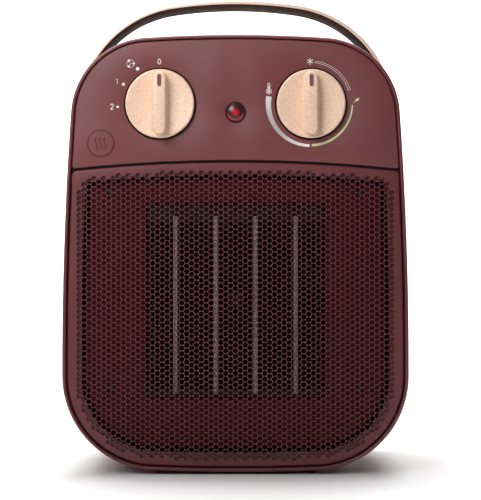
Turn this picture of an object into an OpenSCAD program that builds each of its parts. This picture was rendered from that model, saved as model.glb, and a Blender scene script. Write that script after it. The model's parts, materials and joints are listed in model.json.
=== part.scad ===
// Compact fan heater with a ceramic heating core.
// Origin: centre of the overall box at floor level. X is right, Y is back, Z is up.

/* [Housing] */
// Greatest width of the housing
body_w = 187; // [184:1:190]
// Height of the top of the housing
body_top = 237.2; // [236.6:0.1:238]
// Height of the underside above the floor
body_bottom = 1.4; // [1.2:0.1:1.8]
// Front of the rim
front_y = -59; // [-59.5:0.1:-58.5]
// Joint between the two halves of the housing
seam_y = -16; // [-17:0.5:-15.5]
// Rear face
rear_y = 68; // [67:0.5:69]
// Wall thickness
wall = 2.4; // [2.2:0.1:2.6]
// Depth of the rounding at the back
rear_round = 28; // [26:1:30]

/* [Face] */
// Height of the arched gap between panel and grille, at its middle
split_z = 168.9; // [168:0.1:170]
// Radius of that arch
split_r = 829; // [800:1:860]
// Width of that gap
split_gap = 1.25; // [1:0.05:1.5]
// Inset of the control panel from the housing outline
panel_inset = 2.4; // [2.3:0.05:2.9]
// Inset of the front grille from the housing outline
grille_inset = 2.7; // [2.6:0.05:3.1]
// Width of the plain border of the grille
grille_border = 6; // [5:0.5:8]
// Spacing of the grille openings
grille_pitch = 9.1; // [9:0.1:10]

/* [Knobs] */
// Distance of each knob from the middle
knob_x = 40.7; // [40:0.1:41.5]
// Height of the knobs
knob_z = 199.8; // [199.2:0.1:200.6]
// Diameter of the knob discs
knob_d = 37; // [36.4:0.1:37.6]
// How far the grips reach in front of the origin
knob_front = 68; // [67:0.5:69]
// Radius of the control shafts
shaft_r = 3; // [2.9:0.05:3.05]
// Radial running clearance
running = 0.05; // [0.03:0.01:0.08]

/* [Handle] */
// Top of the strap
handle_top = 261.3; // [261:0.1:263]
// Radius of the long arch
handle_r = 240; // [236:1:246]
// Radius of the shoulders
shoulder_r = 64; // [62:0.5:66]
// Half of the width across the strap ends
handle_half_w = 86.4; // [86.2:0.1:86.5]
// Thickness of the strap
strap_t = 2.4; // [2.2:0.1:2.6]
// Width of the strap from front to back
strap_w = 32; // [30:1:34]
// Middle of the strap from front to back
strap_y = 3; // [2:0.5:4]
// Height of the lower ends of the strap
strap_end_z = 182; // [181:0.5:184]

/* [Heating core] */
// Height of the middle of core and fan
core_z = 93.3; // [93:0.1:94]
// Width of the outlet opening
outlet_w = 98.2; // [98:0.1:99]
// Height of the outlet opening
outlet_h = 106.2; // [106:0.1:107]
// Spacing of the heating bars
bar_pitch = 21.9; // [21.8:0.1:22.2]
// Thickness of each heating bar
bar_t = 2.3; // [2:0.1:2.4]
// Depth of the core from front to back
core_d = 15; // [14:0.5:15]

/* [Fan] */
// Radius of the fan blades
fan_r = 45; // [43:0.5:45.5]
// Number of blades
blade_count = 7; // [5:1:9]
// Inner radius of the duct
duct_r = 47; // [46.5:0.1:47.5]
// Radius of the motor shaft
motor_shaft_r = 2; // [1.8:0.05:2.2]

/* [Hidden] */

burgundy = [0.42, 0.17, 0.2];
champagne = [0.91, 0.79, 0.69];
black = [0.1, 0.1, 0.1];
steel = [0.75, 0.76, 0.78];
alloy = [0.8, 0.81, 0.83];
brass = [0.8, 0.66, 0.35];
white = [0.9, 0.9, 0.88];

// Radii of the arcs of the housing outline
side_r = 1955;
side_z = 59;
base_r = 1100;
crown_r = 750;
low_corner_r = 50.8;
top_corner_r = 42.7;

side_c = [body_w / 2 - side_r, side_z];
base_c = [0, body_bottom + base_r];
crown_c = [0, body_top - crown_r];
split_c = [0, split_z - split_r];

// Crossing of two circles; side is 1 or -1
function meet(p, rp, q, rq, side) =
  let (d = norm(q - p), u = (q - p) / d)
  let (a = (rp * rp - rq * rq + d * d) / (2 * d), h = sqrt(rp * rp - a * a))
  p + a * u + side * h * [-u[1], u[0]];

function angle_to(from, to) = atan2(to[1] - from[1], to[0] - from[0]);

function arc(c, r, a0, a1, n) = [for (i = [0:n])
  let (a = a0 + (a1 - a0) * i / n) c + r * [cos(a), sin(a)]];

// The same arc without its first point, to follow another stretch
function onward(c, r, a0, a1, n) = let (all = arc(c, r, a0, a1, n)) [for (i = [1:n]) all[i]];

function mirrored(points) = [for (i = [len(points) - 1:-1:0]) [-points[i][0], points[i][1]]];

low_c = meet(side_c, side_r - low_corner_r, base_c, base_r - low_corner_r, -1);
top_c = meet(side_c, side_r - top_corner_r, crown_c, crown_r - top_corner_r, 1);

// Right half of the outline, moved in by d, from the middle of the base up to the middle of the crown
function half_outline(d) = concat(
  arc(base_c, base_r - d, -90, angle_to(base_c, low_c), 2),
  onward(low_c, low_corner_r - d, angle_to(base_c, low_c), angle_to(side_c, low_c), 9),
  onward(side_c, side_r - d, angle_to(side_c, low_c), angle_to(side_c, top_c), 3),
  onward(top_c, top_corner_r - d, angle_to(side_c, top_c), angle_to(crown_c, top_c), 9),
  onward(crown_c, crown_r - d, angle_to(crown_c, top_c), 90, 2)
);

function outline(d) = let (right = half_outline(d), left = mirrored(right))
  concat(right, [for (i = [1:len(left) - 2]) left[i]]);

// Closed shell whose cross-section is a loop of [inset, y] pairs carried round the outline
module ring_shell(section) {
  n = len(outline(0));
  m = len(section);
  points = [for (s = section) for (p = outline(s[0])) [p[0], s[1], p[1]]];
  faces = [for (j = [0:m - 1]) for (i = [0:n - 1])
    [j * n + i, j * n + (i + 1) % n, ((j + 1) % m) * n + (i + 1) % n, ((j + 1) % m) * n + i]];
  split_faces = [for (f = faces) each [[f[0], f[1], f[2]], [f[0], f[2], f[3]]]];
  polyhedron(points, split_faces);
}

// Extrudes a drawing in X and Z from y0 back by t
module upright(y0, t) {
  translate([0, y0 + t, 0]) rotate([90, 0, 0]) linear_extrude(t) children();
}

// Cylinder along Y from y0 to y1
module rod(x, z, r, y0, y1) {
  translate([x, y1, z]) rotate([90, 0, 0]) cylinder(r = r, h = y1 - y0, $fn = 48);
}

// Block given by its low and high corners
module block(low, high) {
  translate(low) cube(high - low);
}

// Round tube swept along points with n sides
module swept(points, r, n) {
  m = len(points);
  function tangent(i) = unit(points[min(i + 1, m - 1)] - points[max(i - 1, 0)]);
  rings = [for (i = [0:m - 1]) let (t = tangent(i), u = frames(points)[i], v = cross(t, u))
    for (k = [0:n - 1]) points[i] + r * (cos(360 * k / n) * u + sin(360 * k / n) * v)];
  walls = [for (i = [0:m - 2]) for (k = [0:n - 1]) each [
    [i * n + k, i * n + (k + 1) % n, (i + 1) * n + (k + 1) % n],
    [i * n + k, (i + 1) * n + (k + 1) % n, (i + 1) * n + k]]];
  ends = [[for (k = [n - 1:-1:0]) k], [for (k = [0:n - 1]) (m - 1) * n + k]];
  polyhedron(rings, concat(walls, ends));
}

// Side vectors that turn as little as possible along a path
function frames(points) = [for (
    i = 0, t = points[1] - points[0], u = unit(cross(t, abs(t[2]) < 0.8 * norm(t) ? [0, 0, 1] : [0, 1, 0]));
    i < len(points);
    i = i + 1,
    t = points[min(i + 1, len(points) - 1)] - points[min(i, len(points) - 1) - 1],
    u = unit(u - (u * unit(t)) * unit(t)))
  u];

function unit(v) = v / norm(v);

// Smooth curve through points, with n steps between neighbours
function smooth(p, n) = let (m = len(p)) concat(
  [for (i = [0:m - 2]) for (k = [0:n - 1])
    let (a = p[max(i - 1, 0)], b = p[i], c = p[i + 1], d = p[min(i + 2, m - 1)], t = k / n)
    0.5 * (2 * b + (c - a) * t + (2 * a - 5 * b + 4 * c - d) * t * t + (3 * b - a - 3 * c + d) * t * t * t)],
  [p[m - 1]]);

/* Housing */

flange_front = 3.2;
flange_t = 1.6;
flange_inset = 10.1;
rail_low = 7.2;
rail_high = 5;
opening_inset = 38;
taper = 1.5;
boss_r = 5;
rear_boss_r = 6;
screw_well_r = 4.2;
screw_head_r = 3.4;
housing_screw_places = [[68, 183], [60, 36]];
baffle_screw_places = [[68.1, 152.5], [68.1, 45.8]];
foot_x = 42;
foot_w = 4;
foot_l = 12;
front_foot_y = -44;
rear_foot_y = 40;
front_foot_top = 4;
rear_foot_top = 5.2;
stem_r = 1.6;
plunger_y = 6;
cord_x = 30;
cord_z = 31;
bush_r = 7;
screw_y = -4;
front_boss_y = -38;
baffle_post_r = 4;
baffle_post_front = -40;
baffle_post_back = -28;
rib_t = 2;

seam_bevel = 0.6;
rim_w = 1.9;
front_section = [
  [seam_bevel, seam_y], [wall, seam_y], [wall, front_y + flange_front + flange_t],
  [flange_inset, front_y + flange_front + flange_t], [flange_inset, front_y + flange_front],
  [rim_w, front_y + flange_front], [rim_w, front_y + 1.1], [1.6, front_y + 0.35], [1, front_y],
  [0.35, front_y + 0.6], [0, front_y + 1.6], [0, seam_y - seam_bevel]
];

round_w = 21 - taper;
taper_start = 10;
function rear_curve(shift) = [for (i = [0:6]) let (t = 15 * i)
  [taper + shift + round_w * (1 - cos(t)), rear_y - rear_round + (rear_round - shift) * sin(t)]];
rear_section = concat(
  [[wall, seam_y], [seam_bevel, seam_y], [0, seam_y + seam_bevel], [0, taper_start]],
  rear_curve(0),
  [[opening_inset, rear_y], [opening_inset, rear_y - wall]],
  [for (i = [6:-1:0]) rear_curve(wall)[i]],
  [[wall, taper_start]]
);

module both_sides() {
  children();
  mirror([1, 0, 0]) children();
}

module foot_block(y, top, extra) {
  block([foot_x - foot_w / 2 - extra, y - foot_l / 2 - extra, -extra],
    [foot_x + foot_w / 2 + extra, y + foot_l / 2 + extra, top + extra]);
}

stem_h = 4.5;
foot_fit = 0.05;
screw_r = 1.5;
screw_fit = 0.05;
baffle_screw_r = 1.25;
handle_screw_y = 8;
handle_screw_z = 189;
handle_hole_r = 1.6;

module foot(y, top) {
  foot_block(y, top, 0);
  translate([foot_x, y, top]) cylinder(r = stem_r, h = stem_h, $fn = 24);
}

module foot_pocket(y, top) {
  foot_block(y, top, foot_fit);
  translate([foot_x, y, top - 1]) cylinder(r = stem_r + foot_fit, h = stem_h + 3.5, $fn = 24);
}

// Rail behind the gap between panel and grille, which carries the edges of both
module cross_rail() {
  upright(front_y + flange_front + 0.1, flange_t - 0.2)
    above_split(-rail_low) below_split(-rail_high) polygon(outline(flange_inset - 1));
}

module front_housing() {
  color(burgundy) difference() {
    union() {
      ring_shell(front_section);
      cross_rail();
      both_sides() {
        for (p = housing_screw_places) rod(p[0], p[1], boss_r, front_boss_y, seam_y);
        block([70, front_boss_y, 183 - rib_t / 2], [87.9, seam_y - 2, 183 + rib_t / 2]);
        translate([60, 0, 36]) rotate([0, 45, 0])
          block([3, front_boss_y, -rib_t / 2], [25.6, seam_y - 2, rib_t / 2]);
        for (p = baffle_screw_places) {
          rod(p[0], p[1], baffle_post_r, baffle_post_front, baffle_post_back);
          block([70, baffle_post_front, p[1] - rib_t / 2], [91, baffle_post_back, p[1] + rib_t / 2]);
        }
      }
    }
    both_sides() {
      for (p = housing_screw_places)
        rod(p[0], p[1], screw_r + screw_fit, front_boss_y + 1, seam_y + 1);
      for (p = baffle_screw_places)
        rod(p[0], p[1], baffle_screw_r + screw_fit, baffle_post_front - 1, baffle_post_back - 1);
      foot_pocket(front_foot_y, front_foot_top);
    }
  }
}

module rear_housing() {
  color(burgundy) difference() {
    union() {
      ring_shell(rear_section);
      both_sides() for (p = housing_screw_places) rod(p[0], p[1], rear_boss_r, seam_y, rear_y - 2);
      translate([0, plunger_y, 3]) cylinder(r = 6, h = 5, $fn = 48);
    }
    both_sides() {
      for (p = housing_screw_places) {
        rod(p[0], p[1], screw_r + 0.3, seam_y - 1, 0);
        rod(p[0], p[1], screw_well_r, screw_y, rear_y + 1);
      }
      foot_pocket(rear_foot_y, rear_foot_top);
      at_handle_screws(82) cylinder(r = handle_hole_r, h = 6.3, $fn = 24);
    }
    strap_solid(strap_slack);
    translate([0, plunger_y, 0]) cylinder(r = shaft_r + running, h = 20, $fn = 48);
    rod(cord_x, cord_z, bush_r, 60, rear_y + 2);
  }
}

// Puts local Z outward along X at each screw of one strap end
module at_handle_screws(x) {
  for (side = [-1, 1])
    translate([x, strap_y + side * handle_screw_y, handle_screw_z]) rotate([0, 90, 0]) children();
}

module front_feet() {
  color(burgundy) both_sides() foot(front_foot_y, front_foot_top);
}

module rear_feet() {
  color(burgundy) both_sides() foot(rear_foot_y, rear_foot_top);
}

module housing_screws() {
  color(steel) both_sides() for (p = housing_screw_places) {
    rod(p[0], p[1], screw_r, -34, screw_y);
    rod(p[0], p[1], screw_head_r, screw_y, screw_y + 2.6);
  }
}

/* Face */

panel_front = front_y + 1;
panel_t = 2.2;
cup_gap = 0.9;
cup_r = knob_d / 2 + cup_gap;
cup_floor = panel_front + 1.6;
cup_wall = 2;
hook_z = 223.7;
bushing_hole_r = 4.9;
lens_z = 195.2;
lens_hole_r = 5.35;
grille_front = front_y + 1.2;
grille_t = 1.6;

module above_split(shift) {
  difference() {
    children();
    translate(split_c) circle(r = split_r + shift, $fn = 720);
  }
}

module below_split(shift) {
  intersection() {
    children();
    translate(split_c) circle(r = split_r - shift, $fn = 720);
  }
}

module control_panel() {
  color(burgundy) difference() {
    union() {
      upright(panel_front, panel_t) above_split(split_gap / 2) polygon(outline(panel_inset));
      both_sides() rod(knob_x, knob_z, cup_r + cup_wall, panel_front + 1, cup_floor + 1.8);
      both_sides() for (x = [12, 34])
        block([x - 4, panel_front + 1, hook_z], [x + 4, panel_front + 4.8, hook_z + 1.6]);
    }
    both_sides() {
      rod(knob_x, knob_z, cup_r, panel_front - 1, cup_floor);
      rod(knob_x, knob_z, bushing_hole_r, panel_front - 1, -50);
    }
    rod(0, lens_z, lens_hole_r, panel_front - 1, -50);
  }
}

// Crossing bars that stand for the fine honeycomb of holes
module grille_lattice() {
  bar = 2.4;
  column_pitch = grille_pitch * 0.87;
  for (i = [-11:11]) translate([i * column_pitch - bar / 2, 0]) square([bar, split_z + grille_pitch]);
  for (j = [0:19]) translate([-body_w / 2, j * grille_pitch - bar / 2]) square([body_w, bar]);
}

module front_grille() {
  color(burgundy) upright(grille_front, grille_t) {
    intersection() {
      grille_lattice();
      below_split(split_gap / 2) polygon(outline(grille_inset));
    }
    difference() {
      below_split(split_gap / 2) polygon(outline(grille_inset));
      below_split(split_gap / 2 + grille_border) polygon(outline(grille_inset + grille_border));
    }
  }
}

/* Strap handle */

strap_slack = 0.4;
handle_c = [0, handle_top - handle_r];
arch_end = 81.5;
shoulder_end = 36;
shoulder_c = handle_c + (handle_r - shoulder_r) * [cos(arch_end), sin(arch_end)];
bend_r = (handle_half_w - shoulder_c[0] - shoulder_r * cos(shoulder_end)) / (1 - cos(shoulder_end));
bend_c = shoulder_c + (shoulder_r - bend_r) * [cos(shoulder_end), sin(shoulder_end)];

// Right half of the strap edge, moved in by d, from its lower end to the top middle
function half_strap(d, end_z) = concat(
  [[handle_half_w - d, end_z]],
  arc(bend_c, bend_r - d, 0, shoulder_end, 5),
  onward(shoulder_c, shoulder_r - d, shoulder_end, arch_end, 7),
  onward(handle_c, handle_r - d, arch_end, 90, 2)
);

function strap_edge(d, end_z) = let (right = half_strap(d, end_z), left = mirrored(right))
  concat(right, [for (i = [1:len(left) - 1]) left[i]]);

// The strap, grown on every side by a clearance
module strap_solid(grow) {
  outer = strap_edge(-grow, strap_end_z - grow);
  inner = strap_edge(strap_t + grow, strap_end_z - grow);
  upright(strap_y - strap_w / 2 - grow, strap_w + 2 * grow)
    polygon(concat(outer, [for (i = [len(inner) - 1:-1:0]) inner[i]]));
}

module handle() {
  color(champagne) difference() {
    strap_solid(0);
    both_sides() at_handle_screws(80) cylinder(r = handle_hole_r, h = 10, $fn = 24);
  }
}

plate_t = 1.5;
plate_half_w = 14;
plate_x = handle_half_w - strap_t - 0.2;

module handle_plates() {
  color(steel) both_sides() difference() {
    block([plate_x - plate_t, strap_y - plate_half_w, 183], [plate_x, strap_y + plate_half_w, 195]);
    at_handle_screws(75) cylinder(r = handle_hole_r, h = 15, $fn = 24);
  }
}

module handle_screws() {
  color(steel) both_sides() at_handle_screws(plate_x - plate_t) {
    cylinder(r = screw_r, h = 5.8, $fn = 24);
    translate([0, 0, -2]) cylinder(r = 3, h = 2, $fn = 32);
  }
}

/* Rear cover */

cover_inset = opening_inset + 0.4;
cover_t = 2;
skirt_d = 7;
slot_pitch = 7;
slot_h = 3.6;
slot_w = 42.5;
slot_low = 56;
grip_half_w = 14;

module filter_cover() {
  color(burgundy) difference() {
    union() {
      upright(rear_y - cover_t, cover_t) difference() {
        polygon(outline(cover_inset));
        for (j = [0:17], x = [-slot_w - 1.5, 1.5])
          translate([x, slot_low + j * slot_pitch]) square([slot_w, slot_h]);
      }
      upright(rear_y - skirt_d, skirt_d - 1.5) difference() {
        polygon(outline(cover_inset));
        polygon(outline(cover_inset + cover_t));
      }
    }
    block([-grip_half_w, rear_y - 1, 184], [grip_half_w, rear_y + 1, 192]);
  }
}

module dust_filter() {
  color([0.2, 0.2, 0.2]) upright(rear_y - skirt_d + 1, 0.8)
    polygon(outline(cover_inset + cover_t + 0.3));
}

/* Outlet and heating core */

baffle_y = -50;
baffle_t = 2;
baffle_inset = 12.3;
baffle_drop = 8;
collar_w = 2;
recess_floor = -46;
core_y = -45.5;
side_gap = 0.1;

// Block as large as the outlet opening, grown at its four sides
module outlet_block(grow, y0, y1) {
  half_w = outlet_w / 2 + grow;
  half_h = outlet_h / 2 + grow;
  block([-half_w, y0, core_z - half_h], [half_w, y1, core_z + half_h]);
}

module baffle() {
  color(burgundy) difference() {
    union() {
      upright(baffle_y, baffle_t) below_split(baffle_drop) polygon(outline(baffle_inset));
      outlet_block(collar_w, baffle_y + 1, baffle_y + 4);
      both_sides() for (p = baffle_screw_places) rod(p[0], p[1], baffle_post_r, baffle_y + 1, -43.1);
    }
    outlet_block(0, baffle_y - 1, baffle_y + 5);
    both_sides() for (p = baffle_screw_places) {
      rod(p[0], p[1], 2.2, baffle_y - 1, recess_floor);
      rod(p[0], p[1], 1.4, recess_floor - 1, -43);
    }
  }
}

module baffle_screws() {
  color(steel) both_sides() for (p = baffle_screw_places) {
    rod(p[0], p[1], 2, recess_floor - 1.5, recess_floor);
    rod(p[0], p[1], baffle_screw_r, recess_floor, -30);
  }
}

bar_low = 42.4;
bar_high = 139.4;
fin_low = 45.4;
fin_high = 135.6;
fin_w = 9.5;
fin_fold = 3;
fin_half = 0.8;
frame_half_w = 48.4;
bar_slack = 0.05;
core_low = core_z - outlet_h / 2 + 0.3;
core_high = core_z + outlet_h / 2 - 0.3;

module each_bar() {
  for (i = [-1.5:1:1.5]) translate([i * bar_pitch, 0, 0]) children();
}

module ptc_bars() {
  color(alloy) each_bar() block([-bar_t / 2, core_y, bar_low], [bar_t / 2, core_y + core_d, bar_high]);
}

// One folded strip between x and x + fin_w
module fin_strip(x) {
  folds = floor((fin_high - fin_low) / (fin_fold / 2));
  path = [for (i = [0:folds]) [x + fin_half + (i % 2) * (fin_w - 2 * fin_half), fin_low + i * fin_fold / 2]];
  upright(core_y, core_d) polygon(concat(
    [for (p = path) [p[0] + fin_half, p[1]]],
    [for (i = [folds:-1:0]) [path[i][0] - fin_half, path[i][1]]]));
}

module ptc_fins() {
  color(black) each_bar() {
    fin_strip(bar_t / 2 + side_gap);
    fin_strip(-bar_t / 2 - side_gap - fin_w);
  }
}

module ptc_holder(low, high, slot_low, slot_high) {
  difference() {
    block([-frame_half_w, core_y, low], [frame_half_w, core_y + core_d, high]);
    each_bar() block([-bar_t / 2 - bar_slack, core_y - 1, slot_low],
      [bar_t / 2 + bar_slack, core_y + core_d + 1, slot_high]);
  }
}

module ptc_top_frame() {
  color(black) ptc_holder(fin_high + 0.4, core_high, fin_high, bar_high + 0.1);
}

module ptc_bottom_frame() {
  color(black) ptc_holder(core_low, fin_low - 0.4, bar_low - 0.1, fin_low);
}

module ptc_side_springs() {
  waves = 6;
  x0 = 1.5 * bar_pitch + bar_t / 2 + 2 * side_gap + fin_w + 0.1;
  length = fin_high - fin_low;
  wave = [for (i = [0:4 * waves]) [x0 + 0.7 + 1.1 * (1 - cos(i * 90)), fin_low + length * i / (4 * waves)]];
  color(steel) both_sides() upright(core_y + 1, core_d - 2) {
    translate([x0, fin_low]) square([0.6, length]);
    polygon(concat(
      [for (p = wave) [p[0] - 0.15, p[1]]],
      [for (i = [len(wave) - 1:-1:0]) [wave[i][0] + 0.3, wave[i][1]]]));
  }
}

terminal_y = -38;

module ptc_terminals() {
  color(brass) for (x = [-22, 22]) {
    block([x - tab_half_w, terminal_y - tab_t / 2, core_high + 0.02],
      [x + tab_half_w, terminal_y + tab_t / 2, 160]);
  }
}

duct_top = core_z + outlet_h / 2 + 3.8;

module thermal_cutout() {
  color(steel) {
    translate([0, terminal_y, duct_top + 0.05]) cylinder(r = 8, h = 1.2, $fn = 48);
    translate([0, terminal_y, duct_top + 1.25]) cylinder(r = 6.5, h = 5, $fn = 48);
    for (x = [-9.5, 6.5]) block([x, terminal_y - 2, duct_top + 4], [x + 3, terminal_y + 2, duct_top + 4.8]);
  }
}

module thermal_fuse() {
  color(white) translate([30, terminal_y + 3, duct_top + 2.2]) rotate([0, 90, 0])
    cylinder(r = 2, h = 14, $fn = 32);
}

/* Fan and motor */

duct_front = -45;
duct_back = -29;
duct_end = 22;
duct_wall = 1.8;

module fan_duct() {
  half_w = outlet_w / 2 + collar_w;
  half_h = outlet_h / 2 + collar_w;
  color(black) difference() {
    union() {
      outlet_block(collar_w + duct_wall, duct_front, duct_back + duct_wall);
      rod(0, core_z, duct_r + duct_wall, duct_back, duct_end);
      both_sides() for (p = baffle_screw_places)
        block([half_w, -43, p[1] - 4.5], [p[0] + 4.5, -40.1, p[1] + 4.5]);
    }
    outlet_block(collar_w, duct_front - 1, duct_back);
    rod(0, core_z, duct_r, duct_back - 1, duct_end + 1);
    both_sides() {
      for (p = baffle_screw_places) rod(p[0], p[1], 1.4, -44, -40);
      block([18, terminal_y - 1, core_z + half_h - 1], [26, terminal_y + 1, core_z + half_h + 3]);
    }
  }
}

hub_r = 12;
hub_front = -4;
hub_back = 14;
blade_tilt = 34;
blade_half_t = 0.8;
blade_half_w = 12;
shaft_fit = 0.02;

module blade() {
  intersection() {
    rotate([90, 0, 0]) difference() {
      cylinder(r = fan_r, h = 60, center = true, $fn = 96);
      cylinder(r = hub_r - 2, h = 70, center = true, $fn = 48);
    }
    translate([0, 5, 0]) rotate([0, 0, blade_tilt])
      block([-blade_half_w, -blade_half_t, 0], [blade_half_w, blade_half_t, 60]);
  }
}

module impeller() {
  color(black) translate([0, 0, core_z]) difference() {
    union() {
      along_y(hub_r, hub_front, hub_back);
      for (i = [0:blade_count - 1]) rotate([0, i * 360 / blade_count, 0]) blade();
    }
    along_y(motor_shaft_r + shaft_fit, hub_front - 1, hub_back + 1);
    difference() {
      along_y(hub_r - 2, hub_front + 3, hub_back + 10);
      along_y(5, hub_front + 2, hub_back + 11);
    }
  }
}

module motor_shaft() {
  color(steel) rod(0, core_z, motor_shaft_r, -8, 57);
}

module impeller_clip() {
  color(steel) translate([0, -4.6, core_z]) rotate([90, 0, 0]) difference() {
    cylinder(r = 4.5, h = 0.8, $fn = 48);
    translate([0, 0, -1]) cylinder(r = motor_shaft_r + shaft_fit, h = 3, $fn = 48);
    block([-1.2, 0, -1], [1.2, 6, 2]);
  }
}

stack_front = 30;
stack_back = 50;
rotor_r = 13;
bolt_x = 22;
bolt_z = 15;

module at_motor_bolts() {
  for (x = [-bolt_x, bolt_x], z = [-bolt_z, bolt_z]) translate([x, 0, core_z + z]) children();
}

module along_y(r, y0, y1) {
  rod(0, 0, r, y0, y1);
}

module motor_rotor() {
  color(steel) difference() {
    rod(0, core_z, rotor_r, stack_front + 1, stack_back - 1);
    rod(0, core_z, motor_shaft_r + shaft_fit, stack_front, stack_back);
  }
}

module motor_stator() {
  color([0.45, 0.46, 0.48]) difference() {
    upright(stack_front, stack_back - stack_front) translate([0, core_z]) difference() {
      translate([-28, -46]) square([56, 68]);
      translate([-18, -36]) square([36, 14]);
      circle(r = rotor_r + 0.4, $fn = 96);
    }
    at_motor_bolts() along_y(1.9, stack_front - 1, stack_back + 1);
  }
}

module motor_coil() {
  color([0.7, 0.36, 0.16]) difference() {
    block([-17, stack_front - 5, core_z - 57], [17, stack_back + 6, core_z - 23]);
    block([-30, stack_front - 0.1, core_z - 46.1], [30, stack_back + 0.1, core_z - 35.9]);
    block([-30, stack_front - 0.1, core_z - 46.1], [-18, stack_back + 0.1, core_z]);
  }
}

bolt_reach = norm([bolt_x, bolt_z]);
bolt_angle = atan2(bolt_z, bolt_x);

// Cross of two arms with a round pad at each motor bolt
module bolt_cross(arm_w, pad_r) {
  for (s = [-1, 1]) rotate(s * bolt_angle) square([2 * bolt_reach, arm_w], center = true);
  for (x = [-bolt_x, bolt_x], z = [-bolt_z, bolt_z]) translate([x, z]) circle(r = pad_r, $fn = 48);
}

module motor_bracket(plate_y, post_y0, post_y1, boss_y0, boss_y1) {
  difference() {
    union() {
      upright(plate_y, 2) translate([0, core_z]) bolt_cross(6, 4.4);
      at_motor_bolts() along_y(3.5, post_y0, post_y1);
      rod(0, core_z, 7.5, boss_y0, boss_y1);
    }
    rod(0, core_z, 5.02, boss_y0 - 5, boss_y1 + 5);
    at_motor_bolts() along_y(1.9, plate_y - 20, plate_y + 20);
  }
}

module motor_front_bracket() {
  color(alloy) motor_bracket(25, 25.5, stack_front - 0.05, 24.6, 30.2);
}

module motor_rear_bracket() {
  color(alloy) motor_bracket(53, stack_back + 0.05, 54, 50.2, 56);
}

module motor_bearings() {
  color(brass) for (y = [25, 50.5]) difference() {
    rod(0, core_z, 5, y, y + 4.8);
    rod(0, core_z, motor_shaft_r + running, y - 1, y + 6);
  }
}

module motor_screws() {
  color(steel) at_motor_bolts() {
    along_y(1.8, 20, 55);
    along_y(3.2, 55, 57.4);
    along_y(3, 19, 21.4);
  }
}

module motor_mount() {
  color(black) upright(duct_end + 0.05, 2.4) translate([0, core_z]) difference() {
    union() {
      difference() {
        circle(r = duct_r + duct_wall, $fn = 96);
        circle(r = duct_r - 2.5, $fn = 96);
      }
      for (a = [bolt_angle, 180 - bolt_angle, 180 + bolt_angle, -bolt_angle])
        rotate(a) translate([bolt_reach, -3.5]) square([duct_r - 1 - bolt_reach, 7]);
      for (x = [-bolt_x, bolt_x], z = [-bolt_z, bolt_z]) translate([x, z]) circle(r = 4.6, $fn = 48);
    }
    for (x = [-bolt_x, bolt_x], z = [-bolt_z, bolt_z]) translate([x, z]) circle(r = 1.9, $fn = 48);
  }
}

/* Controls */

// Puts local Z towards the viewer, on the axis of a knob
module on_knob(side) {
  translate([side * knob_x, 0, knob_z]) rotate([90, 0, 0]) children();
}

disc_back = 56.8;
disc_rim = 61.4;
grip_base = 60;
grip_w = 9.4;
grip_l = 35;
grip_top_w = 6.3;
grip_top_l = 33.3;
mark_depth = 0.8;
mark_fit = 0.05;
nut_room_r = 8.2;
mark_w = 2.2;
mark_l = 6.6;
mark_top = knob_d / 2 - 3.2;
nut_h = 2;
shaft_start = 38;
shaft_end = 64.2;
bushing_r = 4.6;
control_front = 54.2;
control_d = 20;

module knob() {
  r = knob_d / 2;
  difference() {
    union() {
      rotate_extrude($fn = 96) polygon([
        [0, disc_back], [r, disc_back], [r, disc_rim - 0.8], [r - 0.8, disc_rim],
        [r - 1.6, disc_rim], [r - 5, disc_rim - 0.9], [0, disc_rim - 1]]);
      translate([0, 0, grip_base])
        linear_extrude(knob_front - grip_base, scale = [grip_top_w / grip_w, grip_top_l / grip_l])
        hull() for (s = [-1, 1]) translate([0, s * (grip_l - grip_w) / 2]) circle(d = grip_w, $fn = 32);
    }
    translate([0, 0, disc_back - 1]) cylinder(r = nut_room_r, h = 3.4, $fn = 48);
    translate([0, 0, disc_back - 1])
      cylinder(r = shaft_r + shaft_fit, h = shaft_end + 1.3 - disc_back, $fn = 48);
    block([-mark_w / 2 - mark_fit, mark_top - mark_l - mark_fit, knob_front - mark_depth - 0.1],
      [mark_w / 2 + mark_fit, mark_top + mark_fit, knob_front + 1]);
  }
}

module knob_mark() {
  block([-mark_w / 2, mark_top - mark_l, knob_front - mark_depth], [mark_w / 2, mark_top, knob_front - 0.1]);
}

module control_shaft() {
  translate([0, 0, shaft_start]) cylinder(r = shaft_r, h = shaft_end - shaft_start, $fn = 48);
}

module control_body(w, h) {
  difference() {
    union() {
      block([-w / 2, -h / 2, control_front - control_d], [w / 2, h / 2, control_front]);
      cylinder(r = bushing_r, h = control_front + 4.4, $fn = 48);
    }
    translate([0, 0, shaft_start - 0.4]) cylinder(r = shaft_r + running, h = 40, $fn = 48);
    translate([0, 0, -1]) cylinder(r = 20, h = control_front - control_d + 1, $fn = 48);
  }
}

module mode_knob() {
  color(champagne) on_knob(-1) knob();
}

module mode_knob_mark() {
  color(burgundy) on_knob(-1) knob_mark();
}

module mode_switch_shaft() {
  color(alloy) on_knob(-1) control_shaft();
}

module mode_switch_body() {
  color(black) on_knob(-1) control_body(26, 26);
}

module thermostat_knob() {
  color(champagne) on_knob(1) knob();
}

module thermostat_knob_mark() {
  color(burgundy) on_knob(1) knob_mark();
}

module thermostat_shaft() {
  color(alloy) on_knob(1) control_shaft();
}

module thermostat_body() {
  color(white) on_knob(1) control_body(22, 26);
}

module control_nuts() {
  color(steel) for (side = [-1, 1]) on_knob(side) translate([0, 0, -cup_floor + 0.02]) difference() {
    cylinder(r = 6.6, h = nut_h, $fn = 6);
    translate([0, 0, -1]) cylinder(r = bushing_r + 0.03, h = nut_h + 2, $fn = 48);
  }
}

tab_half_w = 3.1;
tab_t = 0.8;

module control_terminals() {
  tab_end = control_front - control_d - 0.02;
  color(brass) for (side = [-1, 1], x = [-7, 7]) on_knob(side)
    block([x - tab_half_w, -7.4, tab_end - 8], [x + tab_half_w, -7.4 + tab_t, tab_end]);
}

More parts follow.
